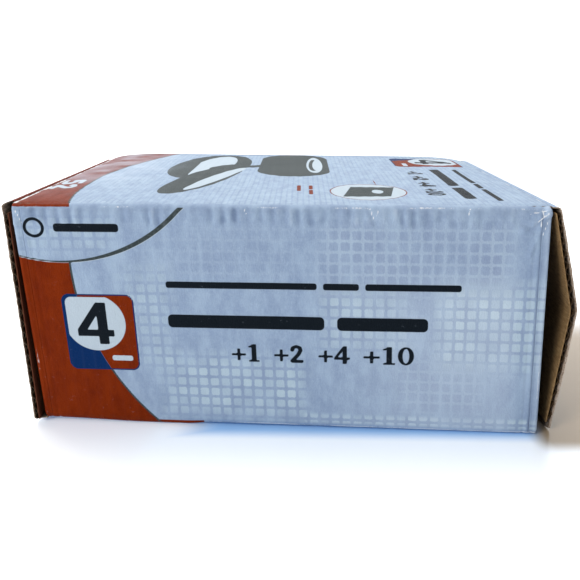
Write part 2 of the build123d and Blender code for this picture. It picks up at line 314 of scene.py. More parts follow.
def front_art(u, v):
    """Main face: u runs right and v up, from the middle of the bottom edge."""
    art = blank_art(u)
    lens_arc = disc_shape(u, v, (9.1, 46), 63.5)
    label_arc = disc_shape(u, v, (-56, 88.3), 41.5)
    below_crease = 61.6
    sweep = common(-lens_arc, -label_arc, v - below_crease, u - 8.5)
    over_top = common(top_band(u, front_y + v - below_crease), below_crease - v)
    under_foot = box_shape(u, v, (-49, -1.0), (26.0, 2.2))
    art["orange"] = union(sweep, over_top, under_foot)
    swell = 0.25 + 0.75 * eased(u, -62, -34)
    swoosh = common(-label_arc - swell, label_arc - 0.15, v - below_crease)
    edge_line = common(np.abs(lens_arc) - 0.28, -label_arc, v - below_crease, u - 8.5)
    art["white"] = common(-label_arc - 0.1, label_arc - 0.28, v - below_crease)
    art["grey"] = union(swoosh, edge_line)
    specks = (((-21.3, 22.6), 0.16), ((-20.1, 23.3), 0.10), ((25.3, 11.9), 0.15), ((27.0, 10.8), 0.10))
    powers = (("+1", -14.1), ("+2", -2.8), ("+4", 8.9))
    art["ink"] = union(
        *(numerals(u, v, text, left, 19.6, 4.9) for text, left in powers),
        numerals(u, v, "+10", 20.8, 19.6, 4.9, 1.45),
        bars(u, v, (39.0, 9.2, 24.6), -30.2, 40.0, 1.8),
        bars(u, v, (41.0, 23.6), -30.4, 28.9, 3.7),
        common(disc_shape(u, v, (-62.4, 56), 2.7), -disc_shape(u, v, (-62.4, 56), 1.9)),
        bars(u, v, (16.5,), -57.4, 54.9, 2.2),
        *(disc_shape(u, v, place, radius) for place, radius in specks),
    )
    count_badge(art, u, v, (-48.6, 27.0), 10.0, -lens_arc)
    fade = 0.75 + 0.25 * noise(u, v, 9, 5)
    light_patches = [
        ((54.5, 30.5), (13.5, 11.0), 9, 1.25),
        ((21, 32), (11, 8.5), 8, 0.8),
        ((-14, 12), (18.5, 8.5), 9, 0.95),
        ((-36, 32), (6.5, 14), 8, 0.6),
        ((-55, 54), (12, 5), 7, 0.35),
        ((36, 3.2), (31, 1.2), 1.6, 1.2),
    ]
    dark_patches = [
        ((34, 48), (24, 9), 9, 1.1),
        ((41, 14), (11, 7), 6, 0.75),
        ((-20, 49), (24, 9), 10, 0.30),
    ]
    art["lighter"] = fade * np.minimum(1, patches(u, v, light_patches))
    art["darker"] = fade * np.minimum(1, patches(u, v, dark_patches)) * eased(label_arc, 0, 3)
    broken = 0.50 + 0.26 * noise(u, v * 0, 5, 7) + 0.14 * noise(u, v * 0, 1.1, 8)
    crease_line = bell(v - 61.7, 0.55) * broken
    # Painted highlight: a light line along the rounded bottom crease, laid on as bare fibre white.
    bottom_highlight_line = bell(v - 0.75, 0.35) * (1.02 + 0.25 * noise(u, v * 0, 5, 7)) * eased(u, -26, -20)
    side_line = bell(np.abs(u) - wall_end - 1.3, 0.4) * (0.62 + 0.3 * noise(u, v, 6, 9))
    score = bell(u - 64.2, 0.22) * 0.5
    art["pale"] = 0.24 * eased(u, 0, 45) * (1 - eased(u, 57, 63)) * (1 - 0.8 * eased(v, 34, 50))
    # Painted highlight: a paler band down the rounded right edge.
    art["pale"] += 0.16 * eased(u, 65.0, 66.5)
    # Painted shade: darkened patches, strongest down the rounded side creases.
    darkened_patches = [
        ((65.6, 31), (1.0, 40), 0.5, 0.40),
        ((52, 49), (20, 10), 14, 0.45),
        ((62, 18), (4, 22), 8, 0.25),
        ((-65.4, 31), (0.9, 40), 0.5, 0.25),
    ]
    # Painted sheen: the right of the face is lightened as if it caught more light.
    sheen_right = 0.30 * eased(u, -10, 60) * eased(v, 2, 50)
    art["rib"] = sheen_right - patches(u, v, darkened_patches)
    art["wear"] = np.maximum.reduce(
        [crease_line, bottom_highlight_line, 0.8 * side_line, score, corner_scuffs(u, v)]
    )
    return art


def corner_scuffs(u, v):
    """White cracks where the top right corner and the label corner were knocked."""
    cracks = [
        ((66.5, 60.6), (63.8, 58.4), 0.22),
        ((66.2, 61.2), (62.0, 60.4), 0.20),
        ((65.3, 61.5), (64.6, 56.6), 0.20),
        ((66.6, 59.0), (65.4, 54.8), 0.18),
        ((22.5, 61.6), (23.3, 58.9), 0.25),
        ((24.6, 61.4), (24.1, 59.6), 0.20),
        ((-66.6, 61.0), (-65.2, 57.2), 0.20),
        ((-9.0, 61.4), (-8.4, 60.0), 0.18),
        ((47.2, 61.4), (46.6, 59.4), 0.20),
    ]
    amount = np.zeros(np.shape(u))
    for start, end, wide in cracks:
        amount = np.maximum(amount, bell(stroke_shape(u, v, [start, end], 0), wide))
    return amount


def top_band(u, v):
    """Orange band down the left of the top face, edged by a wide arc."""
    return -disc_shape(u, v, (83.7, -15), 141)


def top_art(u, v):
    """Top face: u runs right and v back. Its wording reads towards the front."""
    art = blank_art(u)
    band = top_band(u, v)
    ring_a = ellipse_shape(u, v, (-26.0, 18), (27.5, 13.0), 82)
    glass_a = common(ellipse_shape(u, v, (-25.5, 18), (24.0, 6.8), 83), -31.0 - u)
    smudge = ellipse_shape(u, v, (-21.8, 15.5), (6.5, 2.3), 55)
    ring_b = ellipse_shape(u, v, (-24.4, -7.5), (28.5, 7.4), 74)
    glass_a = common(glass_a, -ring_b)
    glass_b = ellipse_shape(u, v, (-20.8, -7.5), (22.0, 2.5), 72)
    joined = stroke_shape(u, v, [(-15, 16), (-6, 20)], 2.4)
    deep = box_shape(u, v, (2.7, 21.5), (12.0, 26.0), 11.5)
    glass_c = ellipse_shape(u, v, (9.8, 21.5), (2.8, 18.5))
    beside_pupil = ellipse_shape(u, v, (10.4, 21), (1.3, 12.0))
    pupil = common(ellipse_shape(u, v, (9.4, 21), (1.6, 13.5)), -beside_pupil, glass_c)
    disc = ellipse_shape(u, v, (24, -29), (10.4, 11.5))
    pouch = polygon_shape(u, v, [(16.6, -36), (29.5, -36), (32.0, -22), (19.6, -22)])
    pouch_mark = ellipse_shape(u, v, (26.6, -29), (1.6, 2.6))
    lenses = union(common(union(ring_a, ring_b, deep, joined), -glass_a, -glass_b, -glass_c), smudge)
    art["grey"] = union(lenses, pupil, common(pouch, -pouch_mark), np.abs(band) - 0.3)
    disc_edge = np.abs(disc) - 0.35
    leader = stroke_shape(u, v, [(27.5, -17.5), (27.0, -9), (31, -9)], 0.2)
    note_frame = quarter_turn(u, v, (7.5, -20))
    notes = union(bars(*note_frame, (6, 7), 0, 0, 1.1), bars(*note_frame, (9,), 0, -3.4, 1.1))
    art["orange"] = union(band, disc_edge, leader, notes)
    thread_size = numerals(*quarter_turn(u, v, (-66.2, -12)), "52", 0, 0, 6.2, 2.0, 0.2)
    art["white"] = union(glass_a, glass_b, glass_c, common(disc, -pouch), pouch_mark, thread_size)
    power_frame = quarter_turn(u, v, (40.2, 8))
    art["ink"] = union(
        bars(*quarter_turn(u, v, (48.5, 14)), (33, 18), 0, 0, 3.2),
        bars(*quarter_turn(u, v, (56.3, 14)), (28, 8, 18), 0, 0, 1.5),
        numerals(*power_frame, "+1 +2 +4 +10", 0, 0, 4.3, 1.27, 0.35),
    )
    badge_u, badge_v = quarter_turn(u, v, (50.5, 31.5))
    split = badge_u * 0.9 + badge_v * 0.4 + 8.0
    count_badge(art, badge_u, badge_v, (0, 0), 11.0, split)
    art["lighter"] = 0.45 * patch(u, v, (0, 0), (70, 55), 20) * (0.7 + 0.3 * noise(u, v, 12, 6))
    art["lighter"] += 0.5 * patch(u, v, (56, 40), (14, 10), 8)
    # Painted shade: the top darkens towards its back edge.
    art["rib"] = -0.7 * eased(v, back_y - 9, back_y - 3) * (0.8 + 0.3 * noise(u, v, 5, 18))
    art["pale"] = (0.26 + 0.22 * noise(u, v, 5, 27)) * (1 - eased(u, -60, -28)) * eased(v, front_y + 2, 10)
    torn_edge = (0.85 + 0.3 * noise(v, u * 0, 3, 19)) * bell(u + half_width, 1.4)
    art["wear"] = np.maximum(edge_wear(u, v, 0.55), torn_edge)
    return art


def edge_wear(u, v, amount):
    """Wear along the four edges of the top or bottom, broken up."""
    edge = np.minimum(np.minimum(u + half_width, half_width - u), np.minimum(v - front_y, back_y - v))
    return (amount + 0.35 * noise(u, v, 4, 20)) * bell(edge, 0.7)


def back_art(u, v):
    """Back face: the same ground with a plain panel of facts."""
    art = blank_art(u)
    arc = disc_shape(u, v, (-20, 46), 75)
    art["orange"] = -arc
    art["grey"] = np.abs(arc) - 0.3
    rows = (((11, 8, 14, 9), 44), ((7, 16, 6, 12), 39.5), ((13, 5, 12, 10), 35), ((9, 12, 4, 9), 30.5))
    art["ink"] = union(
        *(bars(u, v, lengths, -52, level, 1.5) for lengths, level in rows),
        bars(u, v, (30, 17), -52, 50.5, 3.4),
        numerals(u, v, "+1 +2 +4 +10", -52, 14, 5.0),
    )
    for x, wide in ((14, 1.2), (22, 2.0), (31, 3.0), (42, 5.5)):
        side = ellipse_shape(u, v, (x, 34), (wide, 11))
        add(art, "white", side)
        add(art, "grey", np.abs(side) - 0.35)
    art["lighter"] = 0.8 * patch(u, v, (-10, 9), (40, 7), 8) + 0.5 * patch(u, v, (30, 50), (22, 7), 8)
    art["darker"] = 0.6 * patch(u, v, (-30, 55), (30, 5), 6)
    crease = bell(v - 61.7, 0.55) + bell(v, 0.8)
    art["wear"] = np.clip(0.8 * crease + 0.6 * bell(np.abs(u) - wall_end - 1.3, 0.6), 0, 1)
    return art


def bottom_art(u, v):
    """Underside: four power numbers in discs, and plain lines."""
    art = blank_art(u)
    front_arc = disc_shape(u, v, (9.1, back_y + 46), 63.5)
    art["orange"] = union(box_shape(u, v, (0, -46), (80, 9)), common(-front_arc, 30 - v))
    for index, text in enumerate(("+1", "+2", "+4", "+10")):
        x = -42 + 28 * index
        ring = disc_shape(u, v, (x, 12), 10)
        add(art, "white", ring)
        add(art, "grey", np.abs(ring) - 0.6)
        add(art, "ink", numerals(u, v, text, x - 3.4 * len(text) / 1.6, 9, 6.0))
    rows = (((22, 9, 31), -8), ((12, 18, 8, 20), -13.5), ((28, 14, 11), -19), ((9, 26), -24.5))
    for lengths, level in rows:
        add(art, "ink", bars(u, v, lengths, -44, level, 1.6))
    art["lighter"] = 0.5 * patch(u, v, (0, 35), (60, 12), 10)
    art["wear"] = edge_wear(u, v, 0.7)
    return art


def end_art(u, v, length, all_orange):
    """Closing end: u runs right and v up, with the panel from 0 to length and no wording past it."""
    art = blank_art(u)
    arc = disc_shape(u, v, (25, -30), 95)
    art["orange"] = -arc
    art["grey"] = np.abs(arc) - 0.3
    art["ink"] = union(
        numerals(u, v, "+1 +2 +4 +10", -16, length * 0.22, 5.5),
        bars(u, v, (30, 17), -16, length * 0.42, 3.8),
        bars(u, v, (22, 8, 15), -16, length * 0.60, 1.7),
    )
    count_badge(art, u, v, (-31, length * 0.40), 9.0, -arc)
    for name in colour_names:
        art[name] = common(art[name], v - length + 3, 3 - v)
    if all_orange:
        add(art, "orange", length - 3 - v, v - 3)
    art["lighter"] = 0.8 * patch(u, v, (30, length * 0.3), (14, 12), 8)
    folds = bell(v, 0.9) + bell(v - length, 0.9)
    sides = bell(end_half - np.abs(u), 0.5)
    art["wear"] = np.clip(0.85 * folds + 0.8 * sides, 0, 1)
    return art


# ------ how the old carton has slumped
# Each corner of the walls has moved a little, and everything between follows in proportion.
corner_moves = {
    (0, 0, 1): (-1.25, -0.03, -0.20),
    (1, 0, 1): (0.05, 0.70, 0.08),
    (0, 0, 0): (1.35, 1.24, 0.99),
    (1, 0, 0): (2.00, -2.51, 0.0),
    (0, 1, 1): (-0.32, 0.0, 0.45),
    (1, 1, 1): (-1.65, 0.36, -0.06),
}
back_crown = (0.0, 2.0, 1.45)
crown_power = 12
# How far behind the front edge the carton's floor starts and stops bending up to its raised corner.
floor_bend = (2, 12)


def slumped(points):
    """Points of the carton's walls, moved with the corners."""
    low = np.array([-half_width, front_y, 0.0])
    share = np.clip((points - low) / np.array([2 * half_width, depth, height]), 0, 1)
    moved = points.copy()
    near_front = 1 - eased(points[..., 1] - front_y, *floor_bend)
    for corner, move in corner_moves.items():
        weight = np.ones(points.shape[:-1])
        for axis in range(3):
            weight = weight * (share[..., axis] if corner[axis] else 1 - share[..., axis])
        step = weight[..., None] * np.array(move)
        if corner[2] == 0:
            step[..., 2] *= near_front
        moved += step
    arch = (1 - (2 * share[..., 0] - 1) ** crown_power) * share[..., 1] * share[..., 2]
    return moved + arch[..., None] * np.array(back_crown)


# ------ meshes
def finish_piece(piece, body=None, replaces=(), materials=()):
    """Give a new piece its materials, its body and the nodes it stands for."""
    for material in materials:
        piece.data.materials.append(material)
    if body:
        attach(piece, body)
    if replaces:
        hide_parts(*replaces)
    return piece


def link(name, data):
    """New object for a mesh, a light or a camera."""
    piece = bpy.data.objects.new(name, data)
    bpy.context.scene.collection.objects.link(piece)
    return piece


def store(mesh, name, values):
    """Write one number, or three, for each point."""
    kind, field = ("FLOAT", "value") if values.shape[1] == 1 else ("FLOAT_VECTOR", "vector")
    layer = mesh.attributes.new(name, kind, "POINT")
    layer.data.foreach_set(field, values.astype(np.float32).ravel())


def shell(name, outer, inner, art=None, keep=None):
    """Closed sheet between two grids of points; its outer face takes material 0 and the rest material 1."""
    rows, columns = outer.shape[:2]
    keep = np.ones((rows - 1, columns - 1), bool) if keep is None else keep
    count = rows * columns
    index = np.arange(count).reshape(rows, columns)
    a, b, c, d = index[:-1, :-1], index[:-1, 1:], index[1:, 1:], index[1:, :-1]
    front = np.stack([a, b, c, d], -1)[keep]
    back = np.stack([d, c, b, a], -1)[keep] + count
    padded = np.pad(keep, 1)
    sides = []
    for step, (first, second) in (((-1, 0), (a, b)), ((1, 0), (c, d)), ((0, -1), (d, a)), ((0, 1), (b, c))):
        beyond = padded[1 + step[0]: rows + step[0], 1 + step[1]: columns + step[1]]
        edge = keep & ~beyond
        sides.append(np.stack([second, first, first + count, second + count], -1)[edge])
    faces = np.concatenate([front, back] + sides)
    used, faces = np.unique(faces, return_inverse=True)
    faces = faces.reshape(-1, 4)
    points = np.concatenate([outer.reshape(-1, 3), inner.reshape(-1, 3)])[used] * mm
    mesh = bpy.data.meshes.new(name)
    mesh.from_pydata(points, [], faces)
    raw = np.zeros(len(faces), np.int32)
    raw[len(front):] = 1
    mesh.polygons.foreach_set("material_index", raw)
    mesh.polygons.foreach_set("use_smooth", np.arange(len(faces)) < len(front) + len(back))
    for key, values in (art or {}).items():
        store(mesh, key, np.tile(values.reshape(count, -1), (2, 1))[used])
    mesh.update()
    return link(name, mesh)


# ------ shader building
class Shader:
    """Small helper that adds nodes to one material and links them."""

    def __init__(self, name):
        self.material = bpy.data.materials.new(name)
        self.material.use_nodes = True
        self.tree = self.material.node_tree
        self.surface = self.tree.nodes["Principled BSDF"]

    def node(self, kind, inputs=None, **settings):
        made = self.tree.nodes.new(kind)
        for key, value in settings.items():
            setattr(made, key, value)
        for key, value in (inputs or {}).items():
            self.put(made.inputs[key], value)
        return made

    def put(self, socket, value):
        if isinstance(value, bpy.types.NodeSocket):
            self.tree.links.new(value, socket)
        elif isinstance(value, tuple) and len(value) == 3 and socket.type == "RGBA":
            socket.default_value = (*value, 1.0)
        else:
            socket.default_value = value

    def set(self, **values):
        """Set sockets of the surface, with underscores for spaces."""
        for key, value in values.items():
            self.put(self.surface.inputs[key.replace("_", " ")], value)

    def attribute(self, name, output="Fac"):
        return self.node("ShaderNodeAttribute", attribute_name=name).outputs[output]

    def place(self):
        """Object coordinates in millimetres."""
        coordinates = self.node("ShaderNodeTexCoord").outputs["Object"]
        return self.scaled(coordinates, (1 / mm,) * 3)

    def vector(self, operation, *inputs, output=0):
        settings = {"operation": operation}
        return self.node("ShaderNodeVectorMath", dict(enumerate(inputs)), **settings).outputs[output]

    def scaled(self, vector, by):
        return self.vector("MULTIPLY", vector, by)

    def maths(self, operation, first, second=0.0):
        return self.node("ShaderNodeMath", {0: first, 1: second}, operation=operation).outputs[0]

    def times(self, first, *others):
        for other in others:
            first = self.maths("MULTIPLY", first, other)
        return first

    def outside_box(self, places, halves):
        """Distance outside a box round the origin, from two coordinates and its half sizes."""
        beyond = [
            self.maths("MAXIMUM", self.maths("SUBTRACT", self.maths("ABSOLUTE", place), half))
            for place, half in zip(places, halves)
        ]
        corner = self.node("ShaderNodeCombineXYZ", dict(enumerate(beyond))).outputs[0]
        return self.vector("LENGTH", corner, output="Value")

    def ramp(self, value, low, high, to_low=0.0, to_high=1.0):
        """Smooth step of a value between low and high."""
        limits = {"From Min": low, "From Max": high, "To Min": to_low, "To Max": to_high}
        settings = {"interpolation_type": "SMOOTHSTEP"}
        return self.node("ShaderNodeMapRange", {"Value": value, **limits}, **settings).outputs["Result"]

    def mix(self, share, first, second, blend="MIX"):
        made = self.node("ShaderNodeMix", data_type="RGBA", blend_type=blend)
        for socket, value in ((0, share), (6, first), (7, second)):
            self.put(made.inputs[socket], value)
        return made.outputs[2]

    def over(self, colour, tint, value, low, high, most=1.0):
        """A colour with a tint laid over it where a value is high."""
        return self.mix(self.ramp(value, low, high, 0.0, most), colour, tint)

    def noise(self, vector, scale, detail=3.0, rough=0.55):
        inputs = {"Vector": vector, "Scale": scale, "Detail": detail, "Roughness": rough}
        return self.node("ShaderNodeTexNoise", inputs).outputs["Fac"]

    def bump(self, value, distance, strength=1.0, before=None):
        made = self.node("ShaderNodeBump", {"Height": value, "Distance": distance, "Strength": strength})
        if before is not None:
            self.put(made.inputs["Normal"], before)
        return made.outputs["Normal"]


# ------ paper materials
ground_colour = (0.275, 0.362, 0.485)
ground_deep = (0.195, 0.262, 0.385)
square_light = (0.43, 0.535, 0.585)
square_dark = (0.150, 0.185, 0.300)
line_light = (0.33, 0.405, 0.50)
# Painted highlight on the flute ridges and painted shade in their valleys and darkened patches.
painted_rib_highlight = (0.46, 0.53, 0.61)
painted_rib_shade = (0.50, 0.54, 0.62)
pale_colour = (0.50, 0.575, 0.68)
orange_colour = (0.158, 0.0172, 0.0002)
orange_deep = (0.112, 0.0104, 0.0002)
orange_rubbed = (0.27, 0.055, 0.006)
blue_colour = (0.0005, 0.018, 0.085)
white_colour = (0.37, 0.44, 0.51)
grey_colour = (0.030, 0.040, 0.043)
grey_rubbed = (0.12, 0.14, 0.145)
ink_colour = (0.004, 0.007, 0.011)
fibre_white = (0.62, 0.64, 0.67)


def printed_paper():
    """Coated liner: a mottled blue ground with rows of small squares, and the artwork over it."""
    shader = Shader("printed_liner_paper")
    flat = shader.attribute("flat", "Vector")
    cloud = shader.noise(shader.scaled(flat, (1.0, 0.45, 1.0)), 0.20, 6.0, 0.72)
    speckle = shader.noise(flat, 1.6, 4.0, 0.7)
    grain = shader.noise(flat, 6.0, 2.0, 0.6)
    mottled = shader.over(ground_deep, ground_colour, cloud, 0.36, 0.66)
    mottled = shader.over(mottled, line_light, speckle, 0.40, 0.72, 0.34)
    mottled = shader.mix(shader.ramp(grain, 0.35, 0.68, 0.30, 0.0), mottled, ground_deep)

    cell = (square_pitch,) * 3
    shifted = shader.vector("ADD", flat, (300.0 * square_pitch, 300.0 * square_pitch, 0.0))
    in_cell = shader.node("ShaderNodeSeparateXYZ", {0: shader.vector("MODULO", shifted, cell)}).outputs
    places = [shader.maths("SUBTRACT", in_cell[side], square_pitch / 2) for side in ("X", "Y")]
    wobble = shader.ramp(speckle, 0.3, 0.7, -0.12, 0.12)
    reach = shader.maths("ADD", shader.outside_box(places, (0.62, 0.62)), wobble)
    square = shader.ramp(reach, 0.34, 0.60, 1.0, 0.0)
    between = shader.ramp(reach, 0.42, 0.66, 0.0, 1.0)
    tone = shader.ramp(shader.noise(shader.vector("SNAP", shifted, cell), 0.9, 1.0), 0.35, 0.65, 0.55, 1.0)
    lighter, darker = shader.attribute("lighter"), shader.attribute("darker")
    colour = shader.mix(shader.times(between, lighter, 0.14), mottled, square_dark)
    colour = shader.mix(shader.times(square, lighter, tone, 0.80), colour, square_light)
    colour = shader.mix(shader.times(square, darker, tone, 0.40), colour, square_dark)
    colour = shader.mix(shader.times(between, darker, 0.5), colour, line_light)

    orange = shader.over(orange_colour, orange_deep, cloud, 0.35, 0.7)
    orange = shader.over(orange, orange_rubbed, grain, 0.55, 0.8, 0.35)
    edge = 0.09

    def inked(name, inside=1.0, outside=0.0):
        return shader.ramp(shader.attribute(name), -edge, edge, inside, outside)

    grey = shader.over(grey_colour, grey_rubbed, speckle, 0.45, 0.8, 0.5)
    for name, tint in (("orange", orange), ("blue", blue_colour), ("white", white_colour), ("grey", grey)):
        colour = shader.mix(inked(name), colour, tint)
    # This attribute paints light and shade: highlights on ridge crests and the sheen, shade in valleys and
    # patches.
    rib = shader.attribute("rib")
    crest_highlight = shader.times(shader.ramp(rib, 0.05, 1.0, 0.0, 0.35), inked("orange", 0.25, 1.0))
    colour = shader.mix(crest_highlight, colour, painted_rib_highlight)
    colour = shader.mix(shader.ramp(rib, -1.0, -0.05, 0.75, 0.0), colour, painted_rib_shade, "MULTIPLY")
    colour = shader.mix(shader.attribute("pale"), colour, pale_colour)
    colour = shader.mix(inked("ink"), colour, ink_colour)
    fibres = shader.noise(shader.scaled(flat, (1.0, 0.35, 1.0)), 2.6, 5.0, 0.7)
    # Bare fibre white shows real wear, and also the painted highlight line along the front's bottom crease.
    worn_and_highlit = shader.maths("SUBTRACT", shader.maths("ADD", shader.attribute("wear"), fibres), 1.0)
    bare_and_highlit = shader.ramp(worn_and_highlit, 0.06, 0.34)
    colour = shader.mix(shader.times(bare_and_highlit, 0.9), colour, fibre_white)
    rubbed = shader.ramp(shader.noise(flat, 0.5, 6.0, 0.75), 0.60, 0.72, 0.0, 0.10)
    roughness = shader.ramp(speckle, 0.3, 0.7, 0.46, 0.62)
    grained = shader.bump(grain, 0.00006, 0.5, shader.bump(speckle, 0.00012, 0.5))
    shader.set(
        Base_Color=shader.mix(rubbed, colour, line_light),
        Roughness=shader.maths("ADD", roughness, shader.times(bare_and_highlit, 0.30)),
        Specular_IOR_Level=0.10,
        IOR=1.30,
        Normal=shader.bump(fibres, 0.0004, 0.35, grained),
    )
    return shader.material


kraft_light = (0.27, 0.172, 0.080)
kraft_dark = (0.14, 0.080, 0.032)
in_shade = (0.34, 0.30, 0.25)
speck_colour = (0.05, 0.03, 0.018)


def kraft_paper(name, light=kraft_light, dark=kraft_dark, painted_edge_shade=None):
    """Unbleached liner: brown with long fibres and specks, with painted shade that darkens it away from the
    carton's front and back.
    """
    shader = Shader(name)
    place = shader.place()
    fibres = shader.noise(shader.scaled(place, (1.0, 0.18, 1.0)), 2.4, 5.0, 0.7)
    cross_fibres = shader.noise(shader.scaled(place, (0.2, 1.0, 0.25)), 2.0, 5.0, 0.7)
    blotch = shader.noise(place, 0.12, 3.0)
    specks = shader.noise(place, 3.2, 2.0, 0.8)
    colour = shader.over(dark, light, fibres, 0.3, 0.7)
    colour = shader.over(colour, dark, cross_fibres, 0.55, 0.75, 0.4)
    colour = shader.over(colour, dark, blotch, 0.35, 0.75, 0.4)
    colour = shader.over(colour, speck_colour, specks, 0.70, 0.76, 0.6)
    # Painted shade: the liner darkens from 1 to 10 mm in from the carton's front and back edges.
    depth_in = shader.node("ShaderNodeSeparateXYZ", {0: place}).outputs["Y"]
    from_edge = shader.maths("SUBTRACT", depth / 2, shader.maths("ABSOLUTE", depth_in))
    colour = shader.mix(shader.ramp(from_edge, 1.0, 10.0, 0.0, 0.80), colour, in_shade, "MULTIPLY")
    # Painted shade: a dark red tint near the front and back edges, where the face lies in a shadowed gap.
    if painted_edge_shade:
        colour = shader.mix(shader.ramp(from_edge, 2.5, 6.0, 0.92, 0.0), colour, painted_edge_shade)
    normal = shader.bump(fibres, 0.00012, 0.6)
    shader.set(Base_Color=colour, Roughness=0.88, Specular_IOR_Level=0.18, Normal=normal)
    return shader.material


print_material = printed_paper()
kraft_material = kraft_paper("kraft_liner_paper")
# The left end's kraft face gets a dark red painted shade near its front and back edges.
kraft_with_painted_edge_shade = kraft_paper("kraft_liner_painted_edge_shade", painted_edge_shade=(0.070, 0.014, 0.006))
torn_material = kraft_paper("torn_liner_edge", (0.40, 0.33, 0.28), (0.13, 0.085, 0.050))
# The fluting medium is kept very dark so the flute holes in the raw edges read black: its colour is partly
# painted shade.
medium_material = kraft_paper("fluting_medium", (0.070, 0.042, 0.020), (0.030, 0.017, 0.008))
paper_set = (print_material, torn_material)


def flap_paper(name, light, dark):
    """Plain printed liner of a dust flap, rubbed through to the fibres in places."""
    shader = Shader(name)
    place = shader.place()
    cloud = shader.noise(place, 0.14, 4.0, 0.6)
    grain = shader.noise(place, 3.0, 4.0, 0.7)
    colour = shader.over(dark, light, cloud, 0.35, 0.68)
    rubbed = shader.ramp(shader.noise(place, 0.45, 6.0, 0.75), 0.58, 0.72, 0.0, 0.5)
    colour = shader.mix(rubbed, colour, fibre_white)
    shader.set(
        Base_Color=colour,
        Roughness=shader.ramp(grain, 0.3, 0.7, 0.42, 0.60),
        Specular_IOR_Level=0.2,
        Normal=shader.bump(grain, 0.0001, 0.5),
    )
    return shader.material


flap_blue = flap_paper("printed_flap_blue", ground_colour, ground_deep)
flap_orange = flap_paper("printed_flap_orange", orange_colour, orange_deep)


# ------ the four walls
deepest_dent = 0.20


def tube_path(step):
    """Up one wall's printed face: how far in from the wall, how high, the outward normal, and v."""
    bend = crease_radius * math.pi / 2
    v = np.linspace(crease_radius - bend, height - crease_radius + bend, round((height + 2) / step))
    up = np.clip(v, crease_radius, height - crease_radius)
    angle = (v - up) / crease_radius
    inset = crease_radius * (1 - np.cos(angle))
    level = up + crease_radius * np.sin(angle)
    return inset, level, np.cos(angle), np.sin(angle), v


def ribs(u, v, top_line):
    """How far the flutes press through the print: strongly just under the top crease, faintly elsewhere."""
    ridge = np.cos(2 * math.pi * (u + 0.5 * noise(u, v * 0, 9, 10)) / flute_pitch)
    varied = 0.55 + 0.60 * noise(u, v * 0.3, 4, 11)
    foot = top_line - 4.6 + 1.2 * noise(u, v * 0, 4, 16)
    crushed = eased(v, foot - 1.2, foot + 1.2) * (1 - eased(v, top_line - 1.2, top_line + 0.1))
    return ridge * varied * crushed, ridge * (0.5 + 0.5 * noise(u, v * 0.2, 14, 17)), crushed


def relief(u, v, top_line):
    """Height of the printed face above its plane: flutes near the crease, waves and small dents."""
    strong, faint, crushed = ribs(u, v, top_line)
    out = 0.17 * strong + 0.018 * faint
    out += 0.16 * noise(u, v, 17, 12) + 0.07 * noise(u, v, 6, 13) * eased(v, top_line - 22, top_line)
    out += 0.05 * noise(u, v, 2.2, 14) * crushed
    return out


def wall_grid(facing, art_of, seed):
    """Front or back printed face, with both long creases and the turn into each dust flap."""
    row_spacing, column_spacing = 0.36, 0.38
    inset, level, out_y, out_z, v = tube_path(row_spacing)
    lip = depth / 2 - flap_fold_y
    arc = lip * math.pi / 2
    past_fold = 2.2
    flat_reach = np.linspace(-flap_fold_x, flap_fold_x, round(2 * flap_fold_x / column_spacing))
    extra = np.concatenate([np.linspace(0, arc, 8)[1:], arc + np.linspace(0, past_fold, 6)[1:]])
    s = np.concatenate([-flap_fold_x - extra[::-1], flat_reach, flap_fold_x + extra])
    over = np.clip(np.abs(s) - flap_fold_x, 0, None)
    angle = np.clip(over, 0, arc) / lip
    x = np.sign(s) * (np.minimum(np.abs(s), flap_fold_x) + lip * np.sin(angle))
    back = lip * (1 - np.cos(angle)) + np.clip(over - arc, 0, None)
    u, w = np.meshgrid(s, v)
    points = points_of(x, back + inset[:, None], level[:, None])
    out_y = out_y[:, None]
    normal = points_of(np.sign(s) * np.sin(angle) * out_y, -np.cos(angle) * out_y, out_z[:, None])
    shape = relief(u + seed, w, height)
    on_wall = 1 - eased(np.abs(u), wall_end - 1.5, wall_end + 1.0)
    shape = shape * on_wall * eased(w, -0.5, 4) * (1 - eased(w, height - 0.6, height + 1.2))
    for line in (wall_end - 1.9, wall_end + 0.3):
        shape = shape - 0.16 * bell(np.abs(u) - line, 0.38)
    if facing < 0:
        shape = shape + crushed_corner(u, w)
        foot = eased(w, -1.2, -0.4) * (1 - eased(w, 0.4, 1.8))
        points[..., 2] -= 0.6 * eased(u, -64, -38) * (1 - eased(u, -28, -21)) * foot
    shape = np.maximum(shape, -deepest_dent)
    outer = points + normal * shape[..., None]
    inner = points - normal * paper
    for grid in (outer, inner):
        grid[..., 1] += front_y
        if facing > 0:
            grid[..., 0] *= -1
            grid[..., 1] *= -1
    art = art_of(u, w)
    strong, faint, crushed = ribs(u + seed, w, height)
    # Painted light and shade on the flutes under the crease: lighter crests, darker valleys, unevenly.
    rib_unevenness = crushed * (0.25 - 0.35 * noise(u, w, 2.4, 25) - 0.3 * noise(u, w * 0.4, 7, 26))
    art["rib"] = art["rib"] + (0.6 * strong - rib_unevenness + 0.22 * faint * (1 - crushed)) * on_wall
    art["flat"] = points_of(u, w, seed)
    return slumped(outer), slumped(inner), art, u, w


